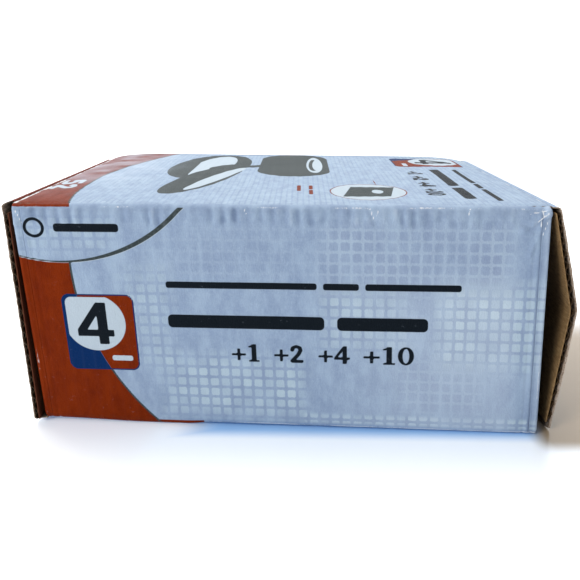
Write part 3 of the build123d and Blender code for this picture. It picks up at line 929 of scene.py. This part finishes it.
def crushed_corner(u, v):
    """Folds pressed into the face at its top corners."""
    folds = [
        ((66.8, 60.5), (60.5, 56.5), 0.9, 0.50),
        ((66.8, 61.5), (62.5, 50.0), 0.7, 0.38),
        ((66.5, 58.5), (57.5, 60.5), 0.6, -0.20),
        ((65.0, 55.5), (59.5, 58.5), 0.8, -0.22),
        ((-66.8, 60.0), (-62.0, 55.0), 0.9, -0.22),
        ((-66.8, 57.0), (-63.0, 60.5), 0.7, 0.30),
        ((22.0, 61.5), (23.8, 57.5), 0.6, -0.24),
    ]
    out = np.zeros(np.shape(u))
    for start, end, wide, deep in folds:
        out += deep * bell(stroke_shape(u, v, [start, end], 0), wide)
    return out


def cut_wall(name, facing, art_of, seed, flaps):
    """The wall's face on the carton, and the two upright creases beside the dust flaps as pieces of their
    own.
    """
    outer, inner, art, u, v = wall_grid(facing, art_of, seed)
    middle_u = (u[:-1, :-1] + u[1:, 1:]) / 2
    middle_v = (v[:-1, :-1] + v[1:, 1:]) / 2
    above_flap = 1.3
    beside_flap = (middle_v < height - above_flap) & (middle_v > above_flap)
    on_crease = (np.abs(middle_u) > wall_end - 0.2) & beside_flap
    past_corner = (np.abs(middle_u) > flap_fold_x + 0.9) & ~on_crease
    piece = shell(f"{name}_print", outer, inner, art, ~on_crease & ~past_corner)
    finish_piece(piece, "carton", [f"{name}_wall_outer_liner"], paper_set)
    for side, flap in flaps.items():
        keep = on_crease & (np.sign(middle_u) == side)
        crease = shell(f"{flap}_crease", outer, inner, art, keep)
        finish_piece(crease, None, (), paper_set)
        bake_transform(crease)


cut_wall("front", -1, front_art, 0, {1: "right_front_flap", -1: "left_front_flap"})
cut_wall("back", 1, back_art, 400, {1: "left_back_flap", -1: "right_back_flap"})


# ------ the closing ends
def rounded_route(corners, radius, step):
    """Points along straight runs joined by arcs, with each point's direction."""
    places, headings = [], []
    start = np.array(corners[0], float)
    for index in range(1, len(corners)):
        corner = np.array(corners[index], float)
        before = corner - start
        before /= np.linalg.norm(before)
        stop, turn, after = corner, 0.0, before
        if index < len(corners) - 1:
            after = np.array(corners[index + 1], float) - corner
            after /= np.linalg.norm(after)
            turn = math.atan2(before[0] * after[1] - before[1] * after[0], before @ after)
            stop = corner - before * radius * math.tan(abs(turn) / 2)
        count = max(2, round(np.linalg.norm(stop - start) / step))
        for share in np.linspace(0, 1, count, endpoint=False):
            places.append(start + (stop - start) * share)
            headings.append(math.atan2(before[1], before[0]))
        if turn:
            spoke = radius * np.sign(turn)
            centre = stop + spoke * np.array([-before[1], before[0]])
            begin = math.atan2(before[1], before[0])
            for share in np.linspace(0, 1, max(3, round(abs(turn) * radius / step)), endpoint=False):
                heading = begin + turn * share
                places.append(centre + spoke * np.array([math.sin(heading), -math.cos(heading)]))
                headings.append(heading)
            start = centre + spoke * np.array([math.sin(begin + turn), -math.cos(begin + turn)])
        else:
            start = corner
    places.append(start)
    headings.append(headings[-1])
    return np.array(places), np.array(headings)


def closing_end(side_name, side, tab_length, tab_half, tab_slope, elbow):
    """Printed face, kraft face and creases of one closing end.

    Local p runs outwards from the carton and q along the panel from its hinge. The route starts on
    the wall, turns round the hinge, follows the panel, turns round the fold and ends at the tab's tip.
    """
    hinge = joint_place(f"{side_name}_end_hinge")
    fold = joint_place(f"{side_name}_tab_fold")
    down = -1 if side > 0 else 1
    fold_p = side * (fold[0] - hinge[0])
    fold_q = down * (fold[2] - hinge[2])
    elbow_radius, spacing, taper = 9.0, 0.5, math.radians(30)
    route = [(0.0, 0.0)] + elbow + [(fold_p, fold_q)]
    panel, panel_turn = rounded_route(route, elbow_radius, spacing)
    slope = math.radians(tab_slope)
    tab_turn = math.pi + slope
    tab_direction = np.array([-math.cos(slope), -math.sin(slope)])
    tab_reach = np.linspace(0, tab_length, round(tab_length / spacing) + 1)
    tab = np.array([fold_p, fold_q]) + tab_direction * tab_reach[:, None]
    lead = [[-1.25, 0.0], [-0.8, 0.0], [-0.4, 0.0]]
    hinge_turns = np.linspace(0.0, panel_turn[0], 8)
    fold_turns = np.linspace(panel_turn[-1], tab_turn, 12)
    at_hinge, at_fold = [[0.0, 0.0]] * len(hinge_turns), [[fold_p, fold_q]] * len(fold_turns)
    places = np.concatenate([lead, at_hinge, panel[1:-1], at_fold, tab[1:]])
    turns = np.concatenate([[0.0] * len(lead), hinge_turns, panel_turn[1:-1], fold_turns])
    turns = np.concatenate([turns, np.full(len(tab) - 1, tab_turn)])
    normals = np.stack([np.sin(turns), -np.cos(turns)], 1)
    outer_line = places + normals * half_board
    inner_line = places + normals * (half_board - paper)
    steps = run_length(outer_line)
    mid_hinge = len(lead) + len(hinge_turns) // 2
    mid_fold = len(lead) + len(hinge_turns) + len(panel) - 2 + len(fold_turns) // 2
    v = steps - steps[mid_hinge]
    length = v[mid_fold]
    tab_tip = tab_half - tab_length * math.tan(taper)
    along_tab = np.clip((v - length - 0.5) / tab_length, 0, 1)
    half = np.where(v < length + 0.5, end_half, tab_half + (tab_tip - tab_half) * along_tab)
    shoulder = end_half - 4.2 * eased(v, length - 1, length + 1.2)
    half = np.where(v < length - 1.0, end_half, np.minimum(half, shoulder))
    corner = 5.0
    past = np.clip(v - (length + tab_length - corner + 0.6), 0, corner)
    half = half - (corner - np.sqrt(corner**2 - np.minimum(past, corner) ** 2)) * 0.9
    columns = np.linspace(-1, 1, round(2 * end_half / 0.6))
    u = columns[None, :] * half[:, None]
    w = np.repeat(v[:, None], len(columns), 1)
    flute = np.cos(2 * math.pi * w / flute_pitch)
    ragged = 0.16 * noise(w * 3, w * 0, 2.2, 21 + side) * (np.abs(columns)[None, :] ** 30)
    on_panel = eased(w, 2.5, 6) * (1 - eased(w, length - 4, length - 1.5))
    shape = flute * 0.03 * on_panel + 0.20 * noise(u, w, 15, 22 + side) * on_panel
    shape += 0.06 * noise(u, w, 4, 24 + side) * on_panel
    wall_share = 1 - eased(w, -0.9, 1.2)
    wall_edge = points_of(side * half_width, u, height if side > 0 else 0.0)
    follow = (slumped(wall_edge) - wall_edge) * wall_share[..., None]
    grids = []
    for line, lift in ((outer_line, shape), (inner_line, 0.0)):
        x = hinge[0] + side * (line[:, 0, None] + normals[:, 0, None] * lift)
        z = hinge[2] + down * (line[:, 1, None] + normals[:, 1, None] * lift)
        grids.append(points_of(x, u * (1 + ragged / end_half), z) + follow)
    art = end_art(u * side, length - w if side > 0 else w, length, side < 0)
    art["flat"] = points_of(u, w, 100 * (side + 5))
    middle = (w[:-1, :-1] + w[1:, 1:]) / 2
    pieces = {
        "hinge_crease": middle < 1.3,
        "end_print": (middle >= 1.3) & (middle < length - 1.2),
        "fold_crease": (middle >= length - 1.2) & (middle < length + 1.2),
        "tab_print": middle >= length + 1.2,
    }
    return (*grids, art), pieces, hinge, fold


def outward(piece):
    """Turn every face of a closed piece outwards."""
    bpy.context.view_layer.objects.active = piece
    piece.select_set(True)
    bpy.ops.object.mode_set(mode="EDIT")
    bpy.ops.mesh.select_all(action="SELECT")
    bpy.ops.mesh.normals_make_consistent(inside=False)
    bpy.ops.object.mode_set(mode="OBJECT")
    piece.select_set(False)


def make_end(side_name, side, tab_slope, elbow):
    tab_length, tab_half = 13.0, 45.5
    sheet, pieces, hinge, fold = closing_end(side_name, side, tab_length, tab_half, tab_slope, elbow)
    made = {}
    for part, keep in pieces.items():
        made[part] = shell(f"{side_name}_{part}", *sheet, keep)
        outward(made[part])
        finish_piece(made[part], None, (), paper_set)
    for part in ("end", "tab"):
        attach(made[f"{part}_print"], f"{side_name}_{part}")
        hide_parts(f"{side_name}_{part}_outer_liner")
    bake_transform(made["hinge_crease"])
    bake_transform(made["fold_crease"])


right_hinge = joint_place("right_end_hinge")
elbow_level = 35.0
elbow = (elbow_out - half_board - right_hinge[0] + 0.45, right_hinge[2] - elbow_level)
make_end("right", 1, 25.0, [elbow])
make_end("left", -1, 33.0, [])


# ------ top and bottom faces
def lying_wall(name, top, art_of, seed):
    """Top or bottom printed face between the long creases."""
    low, high = (top_low, top_high) if top else (bottom_low, bottom_high)
    spacing = 0.54
    u, v = np.meshgrid(
        *(np.linspace(low[axis], high[axis], round((high[axis] - low[axis]) / spacing)) for axis in (0, 1))
    )
    ridge = np.cos(2 * math.pi * u / flute_pitch)
    inside = np.minimum(v - low[1], high[1] - v)
    inside_x = np.minimum(u - low[0], high[0] - u)
    calm = eased(inside, 0, 2.5) * eased(inside_x, 0, 2.5)
    shape = calm * (0.030 * ridge + 0.22 * noise(u, v, 21, seed) + 0.06 * noise(u, v, 5, seed + 1))
    if not top:
        shape = np.minimum(shape * 0.4, 0)
    ragged = top * 0.18 * noise(v * 3, v * 0, 2.0, seed + 2) * (1 - eased(u - low[0], 0, 1.2))
    level = height if top else 0.0
    sign = 1 if top else -1
    outer = points_of(u + ragged, v, level + sign * shape)
    inner = points_of(u + ragged, v, level - sign * paper)
    art = art_of(u, v if top else -v)
    art["flat"] = points_of(2 * u, 2 * v, seed)
    if not top:
        outer, inner = outer[::-1], inner[::-1]
        art = {key: value[::-1] for key, value in art.items()}
    piece = shell(f"{name}_print", slumped(outer), slumped(inner), art)
    finish_piece(piece, "carton", [f"{name}_wall_outer_liner"], paper_set)


lying_wall("top", True, top_art, 31)
lying_wall("bottom", False, bottom_art, 41)


# ------ board layers behind the print
def cut_near_front(mesh):
    """Split long faces just behind the front edge, where the floor of the carton bends up."""
    cuts = bmesh.new()
    cuts.from_mesh(mesh)
    for behind in np.linspace(*floor_bend, 6):
        everything = cuts.verts[:] + cuts.edges[:] + cuts.faces[:]
        bmesh.ops.bisect_plane(
            cuts, geom=everything, plane_co=(0, (front_y + behind) * mm, 0), plane_no=(0, 1, 0)
        )
    cuts.to_mesh(mesh)
    cuts.free()


def moved_copy(node, move, ending, body, material):
    """Copy of one layer of board with its points moved."""
    mesh = frame["nodes"][node].data.copy()
    if node.startswith("bottom"):
        cut_near_front(mesh)
    points = np.zeros(len(mesh.vertices) * 3, np.float32)
    mesh.vertices.foreach_get("co", points)
    moved = move(points.reshape(-1, 3).astype(float) / mm) * mm
    mesh.vertices.foreach_set("co", moved.astype(np.float32).ravel())
    mesh.materials.clear()
    mesh.update()
    finish_piece(link(f"{node}_{ending}", mesh), body, [node], [material])


def slumped_copy(node, material):
    """Copy of a wall layer, slumped with the rest of the carton."""
    moved_copy(node, slumped, "slumped", "carton", material)


for wall in ("front", "back", "top", "bottom"):
    slumped_copy(f"{wall}_wall_medium", medium_material)
    slumped_copy(f"{wall}_wall_inner_liner", kraft_material)
slumped_copy("glue_flap", kraft_material)


def dress(node, material):
    """Give a CAD node a finished material."""
    piece = frame["nodes"][node]
    piece.data.materials.clear()
    piece.data.materials.append(material)


for panel in ("right_end", "left_end", "right_tab", "left_tab"):
    dress(f"{panel}_medium", medium_material)
    dress(f"{panel}_inner_liner", kraft_with_painted_edge_shade if panel == "left_end" else kraft_material)


swing_room = 1.25  # how much further the root of the right front flap is cut back than its crease moved


def settled_flap(flap, layer, material, tucked=0.0):
    """Copy of one flap layer whose root has slumped with the wall that it hangs from.

    Where the foot of the right front crease has moved most, the root is cut back so that it clears
    the wall when the flap swings out. Tucked pulls the root under the printed crease.
    """
    hinge = joint_place(f"{flap}_hinge")

    def settled(points):
        if flap == "right_front_flap":
            moved_by = np.linalg.norm((slumped(points) - points)[:, :2], axis=1)
            points[:, 1] = np.maximum(points[:, 1], hinge[1] + swing_room * moved_by)
        from_hinge = points[:, :2] - hinge[:2]
        reach = np.hypot(from_hinge[:, 0], from_hinge[:, 1])
        root = 1 - eased(reach, 1.5, 20)
        moved = points + (slumped(points) - points) * root[:, None]
        under_print = tucked * (1 - eased(reach, 2.5, 5))
        moved[:, :2] -= from_hinge * (under_print / np.maximum(reach, 0.5))[:, None]
        return moved

    moved_copy(f"{flap}_{layer}", settled, "settled", flap, material)


for flap in ("right_front_flap", "right_back_flap", "left_front_flap", "left_back_flap"):
    flap_print = flap_blue if flap.startswith("right") else flap_orange
    settled_flap(flap, "outer_liner", flap_print, 0.32)
    settled_flap(flap, "medium", medium_material)
    settled_flap(flap, "inner_liner", kraft_material)


# ------ materials of the wallet and lenses
def woven(name, thread_colour, gap_colour, pitch, sheen=0.35):
    """Plain weave that shows the same on every face."""
    shader = Shader(name)
    place = shader.place()
    axes = shader.node("ShaderNodeSeparateXYZ", {0: place}).outputs
    turn = 2 * math.pi / pitch
    waves = [shader.maths("SINE", shader.maths("MULTIPLY", axis, turn)) for axis in axes]
    pairs = [shader.maths("MULTIPLY", waves[a], waves[b]) for a, b in ((0, 1), (1, 2), (2, 0))]
    weave = shader.maths("ADD", shader.maths("ADD", pairs[0], pairs[1]), pairs[2])
    dust = shader.noise(place, 0.12, 5.0, 0.65)
    fuzz = shader.noise(place, 4.0, 3.0, 0.7)
    colour = shader.over(gap_colour, thread_colour, weave, -0.6, 0.6)
    colour = shader.over(colour, (0.11, 0.11, 0.115), dust, 0.50, 0.80, 0.30)
    shader.set(
        Base_Color=colour,
        Roughness=shader.ramp(fuzz, 0.3, 0.7, 0.62, 0.86),
        Specular_IOR_Level=0.3,
        Sheen_Weight=sheen,
        Sheen_Roughness=0.5,
        Normal=shader.bump(fuzz, 0.00008, 0.6, shader.bump(weave, 0.00012, 0.9)),
    )
    return shader.material


def black_metal(name, roughness):
    """Black anodised metal with fine turning lines and light rubbed specks."""
    shader = Shader(name)
    place = shader.place()
    turning = shader.noise(shader.scaled(place, (0.15, 0.15, 1.0)), 7.0, 3.0, 0.6)
    specks = shader.noise(place, 0.9, 6.0, 0.8)
    colour = shader.over((0.010, 0.010, 0.011), (0.024, 0.024, 0.026), turning, 0.35, 0.7)
    colour = shader.over(colour, (0.22, 0.22, 0.225), specks, 0.68, 0.74, 0.7)
    shader.set(
        Base_Color=colour,
        Metallic=0.55,
        Roughness=shader.ramp(turning, 0.3, 0.7, roughness - 0.06, roughness + 0.08),
        Normal=shader.bump(turning, 0.00004, 0.6),
    )
    return shader.material


def lens_glass():
    """Coated glass with a few faint smears."""
    shader = Shader("coated_lens_glass")
    place = shader.place()
    smear = shader.noise(shader.scaled(place, (1.0, 0.3, 1.0)), 0.25, 5.0, 0.7)
    tint = shader.over((0.86, 0.95, 0.91), (0.93, 0.97, 0.96), smear, 0.35, 0.7)
    shader.set(
        Base_Color=tint,
        Roughness=shader.ramp(smear, 0.50, 0.75, 0.01, 0.07),
        IOR=1.52,
        Transmission_Weight=1.0,
        Coat_Weight=0.4,
        Coat_Tint=(0.75, 0.85, 1.0),
    )
    return shader.material


def pile(name, colour_low, colour_high, scale):
    """Hook or loop pile."""
    shader = Shader(name)
    tufts = shader.noise(shader.place(), scale, 4.0, 0.8)
    shader.set(
        Base_Color=shader.over(colour_low, colour_high, tufts, 0.35, 0.65),
        Roughness=0.9,
        Sheen_Weight=0.5,
        Normal=shader.bump(tufts, 0.0006, 1.0),
    )
    return shader.material


nylon = woven("black_nylon_weave", (0.030, 0.030, 0.034), (0.006, 0.006, 0.007), 0.9)
tape = woven("binding_tape", (0.022, 0.022, 0.024), (0.005, 0.005, 0.006), 0.6, 0.5)
stitching = woven("grey_thread", (0.16, 0.16, 0.17), (0.06, 0.06, 0.065), 0.35, 0.2)
ring_metal = black_metal("anodised_ring", 0.36)
retainer_metal = black_metal("anodised_retainer", 0.48)
glass = lens_glass()
hook_pile = pile("hook_pile", (0.008, 0.008, 0.009), (0.05, 0.05, 0.052), 1.8)
loop_pile = pile("loop_pile", (0.012, 0.012, 0.013), (0.07, 0.07, 0.072), 1.1)


# ------ the wallet
def node_mm(node):
    low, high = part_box(node)
    return in_mm(low), in_mm(high)


def soft_piece(name, node, body, outer, inner, material, slot="nylon"):
    """Closed soft sheet that stands for one node."""
    piece = shell(name, outer, inner)
    outward(piece)
    return finish_piece(piece, body, [node], [material, material])


def soft_grid(half_u, half_v, corner, step):
    """Even grid over a rounded rectangle, with each point's distance in from the edge."""
    v = np.linspace(-half_v, half_v, round(2 * half_v / step))
    into_corner = np.clip(np.abs(v) - half_v + corner, 0, corner)
    half = half_u - corner + np.sqrt(np.maximum(corner**2 - into_corner**2, 0))
    columns = np.linspace(-1, 1, round(2 * half_u / step))
    u = columns[None, :] * half[:, None]
    v = np.repeat(v[:, None], len(columns), 1)
    return u, v, np.maximum(-box_shape(u, v, (0, 0), (half_u, half_v), corner), 0)


def rim_path(half_u, half_v, corner, step=1.5):
    """Points round a rounded rectangle, in order."""
    points = []
    for quarter, (cx, cy) in enumerate(((1, 1), (-1, 1), (-1, -1), (1, -1))):
        centre = np.array([cx * (half_u - corner), cy * (half_v - corner)])
        for turn in np.linspace(0, math.pi / 2, 7) + quarter * math.pi / 2:
            points.append(centre + corner * np.array([math.cos(turn), math.sin(turn)]))
    closed = np.array(points + points[:1])
    reach = run_length(closed)
    even = np.linspace(0, reach[-1], round(reach[-1] / step), endpoint=False)
    return np.stack([np.interp(even, reach, closed[:, axis]) for axis in (0, 1)], 1)


def closed_tube(name, path, outline, lift):
    """Tube of a small outline swept round a closed path that lies flat; outline is (outwards, up)."""
    ahead = np.roll(path, -1, 0) - np.roll(path, 1, 0)
    outwards = np.stack([ahead[:, 1], -ahead[:, 0]], 1) / np.linalg.norm(ahead, axis=1)[:, None]
    count, rounds = len(outline), len(path)
    points = []
    for place, normal in zip(path, outwards):
        for out, up in outline:
            points.append((*(place + normal * out), lift + up))
    faces = []
    for i in range(rounds):
        j = (i + 1) % rounds
        for k in range(count):
            m = (k + 1) % count
            faces.append((i * count + k, j * count + k, j * count + m, i * count + m))
    mesh = bpy.data.meshes.new(name)
    mesh.from_pydata(np.array(points) * mm, [], faces)
    mesh.polygons.foreach_set("use_smooth", np.ones(len(faces), bool))
    piece = link(name, mesh)
    outward(piece)
    return piece


def stitches(name, body, path, up, pitch=3.0):
    """Row of thread stitches along a path of points, lying on a surface that faces up."""
    reach = run_length(path)
    points, faces = [], []
    around_count, along_count = 6, 5
    thread_radius, stitch_share = 0.30, 0.72
    for middle in np.arange(pitch / 2, reach[-1] - pitch / 2, pitch):
        place, near = (
            np.array([np.interp(along, reach, path[:, axis]) for axis in range(3)])
            for along in (middle, middle + 0.2)
        )
        ahead = (near - place) / np.linalg.norm(near - place)
        across = np.cross(up, ahead)
        first = len(points)
        for i in range(along_count):
            along = (i / (along_count - 1) - 0.5) * pitch * stitch_share
            thick = thread_radius * math.sqrt(max(1 - (2.0 * i / (along_count - 1) - 1) ** 2, 0.08))
            for k in range(around_count):
                turn = 2 * math.pi * k / around_count
                side = across * math.cos(turn) + np.array(up) * (math.sin(turn) * 0.7)
                points.append(place + ahead * along + side * thick)
        for i in range(along_count - 1):
            for k in range(around_count):
                m = (k + 1) % around_count
                row = first + i * around_count
                faces.append((row + k, row + m, row + around_count + m, row + around_count + k))
        faces.append(tuple(first + k for k in reversed(range(around_count))))
        faces.append(tuple(first + (along_count - 1) * around_count + k for k in range(around_count)))
    mesh = bpy.data.meshes.new(name)
    mesh.from_pydata(np.array(points) * mm, [], faces)
    piece = link(name, mesh)
    outward(piece)
    return finish_piece(piece, body, (), [stitching])


def wallet_leaf(node, body, crown_up):
    """Padded leaf: pinched at its bound edge, fuller between, with a crown on the side that is free."""
    low, high = node_mm(node)
    middle, half = (low + high) / 2, (high - low) / 2
    corner = 5.0
    u, v, inside = soft_grid(half[0] - 0.3, half[1] - 0.3, corner, 1.0)
    full = eased(inside, 0, 6)
    pinch = 0.28 * (1 - full)
    pucker = 0.10 * noise(u, v, 9, 51) * full
    quilt = 0.22 * bell(u, 0.9)
    above = high[2] - pinch - 0.02 + crown_up * (0.55 * full + pucker - quilt)
    below = low[2] + pinch + 0.02 - (0 if crown_up else 0.12 * full)
    outer, inner = (points_of(u + middle[0], v + middle[1], level) for level in (above, below))
    leaf = soft_piece(f"{node}_leaf", node, body, outer, inner, nylon)
    thick = high[2] - low[2]
    outline = [(0.0, -0.05), (0.35, 0.05), (0.5, thick / 2), (0.35, thick - 0.05), (0.0, thick + 0.05)]
    outline += [(-2.4, thick + 0.02), (-2.6, thick - 0.3), (-2.6, 0.3), (-2.4, -0.02)]
    path = rim_path(half[0] - 0.4, half[1] - 0.4, corner)
    binding = closed_tube(f"{node}_binding", path + middle[:2], outline, low[2])
    finish_piece(binding, body, (), [tape])
    if crown_up:
        seam = rim_path(half[0] - 2.6, half[1] - 2.6, 3.5)
        row = points_of(*(seam + middle[:2]).T, high[2] + 0.10)
        stitches(f"{node}_stitches", body, row, (0, 0, 1))


wallet_leaf("wallet_base", "wallet", 0)
wallet_leaf("wallet_cover", "wallet_cover", 1)


def lens_pocket(power, body, rise_sign):
    """Pocket pulled over one lens: flat over the ring, close at sides and back, open at the front."""
    node = f"{power}_pocket"
    low, high = node_mm(node)
    ring_low, ring_high = node_mm(f"{power}_ring")
    centre = (ring_low + ring_high) / 2
    ring_radius = (ring_high[0] - ring_low[0]) / 2
    middle, half = (low + high) / 2, (high - low) / 2
    sheet = 0.55
    a, b = np.meshgrid(np.linspace(-1, 1, 96), np.linspace(-1, 1, 88))
    grids = []
    for inset, drop in ((0.0, 0.0), (sheet, sheet)):
        x, y = a * (half[0] - inset), b * half[1] - inset * (b > 0) * b
        side = eased(half[0] - inset - np.abs(x), 0.0, 1.1)
        back = eased(half[1] - inset - y, 0.0, 1.3)
        reach = np.hypot(x + middle[0] - centre[0], y + middle[1] - centre[1])
        slack = 0.30 * eased(reach, ring_radius + 0.3, ring_radius + 10)
        tall = 2 * half[2] - 0.10 - drop
        rise = tall * side * back * (1 - slack)
        rise = rise + (0.12 * noise(x, y, 6, 61) - 0.14) * side * back * (drop == 0)
        start = low[2] if rise_sign > 0 else high[2]
        z = start + rise_sign * np.clip(rise, 0.0, tall)
        grids.append(points_of(x + middle[0], y + middle[1], z))
    outer = grids[0]
    piece = soft_piece(f"{node}_sheet", node, body, *grids, nylon)
    lip = outer[0]
    mouth = points_of(lip[:, 0], lip[0, 1] + 2.2, lip[:, 2] + rise_sign * 0.06)
    flat_part = np.abs(lip[:, 0] - middle[0]) < half[0] - 3
    stitches(f"{power}_mouth_stitches", body, mouth[flat_part], (0, 0, rise_sign))


lens_pocket("plus_4", "wallet", 1)
lens_pocket("plus_10", "wallet", 1)
lens_pocket("plus_1", "wallet_cover", -1)
lens_pocket("plus_2", "wallet_cover", -1)


def upright_panel(node, body, bulge, material, corner, seed, slot="nylon"):
    """Upright soft panel in the space of its node: pinched at its edges, with a slight bulge outwards."""
    low, high = node_mm(node)
    middle, half = (low + high) / 2, (high - low) / 2
    facing = -1 if middle[1] < 0 else 1
    u, w, inside = soft_grid(half[0] - 0.05, half[2] - 0.05, corner, 0.8)
    full = eased(inside, 0, 3.0)
    thick = half[1] * (0.72 + 0.26 * full)
    wave = 0.10 * noise(u, w, 5, seed) * full
    outer_y = middle[1] + facing * (thick + bulge * full + wave * (bulge > 0))
    inner_y = middle[1] - facing * thick
    outer, inner = (points_of(u + middle[0], y, w + middle[2]) for y in (outer_y, inner_y))
    piece = soft_piece(f"{node}_panel", node, body, outer, inner, material, slot)
    if slot == "nylon":
        face = middle[1] + facing * (half[1] + bulge * 0.5 + 0.05)
        row = points_of(np.arange(low[0] + 3, high[0] - 3, 1.5), face, high[2] - 1.6)
        stitches(f"{node}_stitches", body, row, (0, facing, 0))


upright_panel("wallet_spine", "wallet", 0.25, nylon, 1.5, 71)
upright_panel("wallet_front", "wallet", 0.15, nylon, 1.5, 72)
upright_panel("loop_strip", "wallet", 0.0, loop_pile, 1.0, 73, "hook_and_loop")
upright_panel("hook_strip", "wallet_cover", 0.0, hook_pile, 1.0, 74, "hook_and_loop")


def closing_strap():
    """Strap that leaves the cover's front edge, turns down and ends in round corners."""
    low, high = node_mm("wallet_strap")
    cover_low, cover_high = node_mm("wallet_cover")
    middle_x = (low[0] + high[0]) / 2
    half_wide = (high[0] - low[0]) / 2
    strap_y = low[1] + 0.6
    cover_middle = (cover_low[2] + cover_high[2]) / 2
    corners = [(cover_low[1] + 2.0, cover_middle), (strap_y, cover_middle), (strap_y, low[2] + 0.05)]
    route, headings = rounded_route(corners, 1.6, 0.7)
    reach = run_length(route)
    end_radius = 6.0
    end = np.clip(reach - reach[-1] + end_radius, 0, end_radius)
    half = half_wide - end_radius + np.sqrt(np.maximum(end_radius**2 - end**2, 0.0))
    columns = np.linspace(-1, 1, 40)
    u = columns[None, :] * half[:, None]
    w = np.repeat(reach[:, None], len(columns), 1)
    edge = np.minimum(half[:, None] - np.abs(u), reach[-1] - w)
    thick = 0.32 + 0.26 * eased(edge, 0, 2.0) + 0.03 * noise(u, w, 4, 81)
    normals = np.stack([np.sin(headings), -np.cos(headings)], 1)
    grids = []
    for sign in (1, -1):
        place = route[:, None, :] + sign * normals[:, None, :] * thick[..., None]
        grids.append(points_of(u + middle_x, place[..., 0], place[..., 1]))
    piece = soft_piece("wallet_strap_sheet", "wallet_strap", "wallet_cover", *grids, tape)
    level = np.linspace(high[2] - 3.0, low[2] + 2.5, 24)
    for side, sign in (("left", -1), ("right", 1)):
        row = points_of(middle_x + sign * (half_wide - 2.0), strap_y - 0.62, level)
        stitches(f"wallet_strap_stitches_{side}", "wallet_cover", row, (0, -1, 0))


closing_strap()
for power in ("plus_1", "plus_2", "plus_4", "plus_10"):
    dress(f"{power}_ring", ring_metal)
    dress(f"{power}_retainer", retainer_metal)
    dress(f"{power}_glass", glass)


# ------ floor, light and camera
def stage_plane(name, size, place, turn, shader):
    bpy.ops.mesh.primitive_plane_add(size=1.0, location=place, rotation=turn)
    plane = bpy.context.active_object
    plane.name = name
    plane.scale = (*size, 1.0)
    plane.data.materials.append(shader.material)


def studio_stage():
    """White backdrop, and a glossy white table with the photo's blue and warm shadows beside the carton."""
    table = Shader("pale_floor")
    position = table.node("ShaderNodeNewGeometry").outputs["Position"]
    across, back = table.node("ShaderNodeSeparateXYZ", {0: position}).outputs[:2]
    away = table.outside_box((across, back), (half_width * mm, depth / 2 * mm))
    # Painted blue contact shadow round the carton's footprint, left off beside its left corner.
    lit_left = table.ramp(across, -32 * mm, -16 * mm, 1.0, 0.0)
    clear = table.maths("MAXIMUM", table.ramp(away, 0.5 * mm, 7 * mm), lit_left)
    # Painted warm shadow on the table to the right of the carton.
    warm_limits = ((across, 66, 73), (back, -63, -55), (across, 120, 160, 1, 0), (back, 20, 54, 1, 0))
    painted_warm_shadow = table.times(
        *(table.ramp(place, start * mm, end * mm, *ends) for place, start, end, *ends in warm_limits)
    )
    colour = table.mix(clear, (0.36, 0.58, 0.86), (0.93, 0.89, 0.82))
    glow = table.mix(clear, (0.02, 0.10, 0.30), (0.40, 0.63, 1.0))
    # The table's emission is a painted glow: blue in the contact shadow, bluish white elsewhere, almost
    # none in the warm shadow.
    table.set(
        Base_Color=table.mix(painted_warm_shadow, colour, (0.31, 0.235, 0.155)),
        Roughness=0.22,
        Specular_IOR_Level=0.6,
        Emission_Color=table.mix(painted_warm_shadow, glow, (0.02, 0.02, 0.02)),
        Emission_Strength=0.32,
    )
    stage_plane("studio_floor", (8.0, 8.0), (0, 2.0, 0), (0, 0, 0), table)
    backdrop = Shader("white_backdrop")
    backdrop.set(Base_Color=(0.9, 0.9, 0.9), Roughness=0.9)
    backdrop.set(Emission_Color=(0.97, 0.985, 1.0), Emission_Strength=1.04)
    stage_plane("studio_backdrop", (9.0, 4.0), (0, 2.6, 1.9), (math.radians(90), 0, 0), backdrop)


def soft_light(name, place, aim, size, power, colour=(1, 1, 1)):
    data = bpy.data.lights.new(name, "AREA")
    data.shape = "RECTANGLE"
    data.size, data.size_y = size
    data.energy = power
    data.color = colour
    lamp = link(name, data)
    lamp.location = place
    lamp.rotation_euler = (Vector(aim) - Vector(place)).to_track_quat("-Z", "Y").to_euler()


def studio():
    studio_stage()
    world = bpy.data.worlds.new("studio")
    bpy.context.scene.world = world
    world.use_nodes = True
    background = world.node_tree.nodes["Background"].inputs
    background["Color"].default_value = (0.955, 0.985, 1.0, 1)
    background["Strength"].default_value = 0.44
    soft_light("window", (-0.25, 0.45, 1.00), (0, 0, 0.03), (0.9, 0.9), 14.0, (1.0, 0.97, 0.92))
    soft_light("front_fill", (-0.80, -0.80, 0.60), (0, 0, 0.03), (0.45, 0.45), 11.6, (1.0, 0.98, 0.95))
    bpy.context.scene.view_settings.view_transform = "Standard"


camera_place = Vector((5.76, -219.28, 93.07)) * mm
camera_turns = ((1.226, "Z"), (-17.429, "X"), (-0.298, "Y"), (90, "X"))  # turn, tilt, roll, then level
focal_length = 42.33


def photo_camera():
    """The viewpoint of a phone held a hand's width above the table, in front of the carton."""
    data = bpy.data.cameras.new("camera")
    data.sensor_width = 36.0
    data.lens = focal_length
    data.clip_start = 0.01
    data.clip_end = 20.0
    camera = link("camera", data)
    camera.matrix_world = Matrix.Translation(camera_place)
    for degrees, axis in camera_turns:
        camera.matrix_world = camera.matrix_world @ Matrix.Rotation(math.radians(degrees), 4, axis)
    bpy.context.scene.camera = camera


studio()
photo_camera()
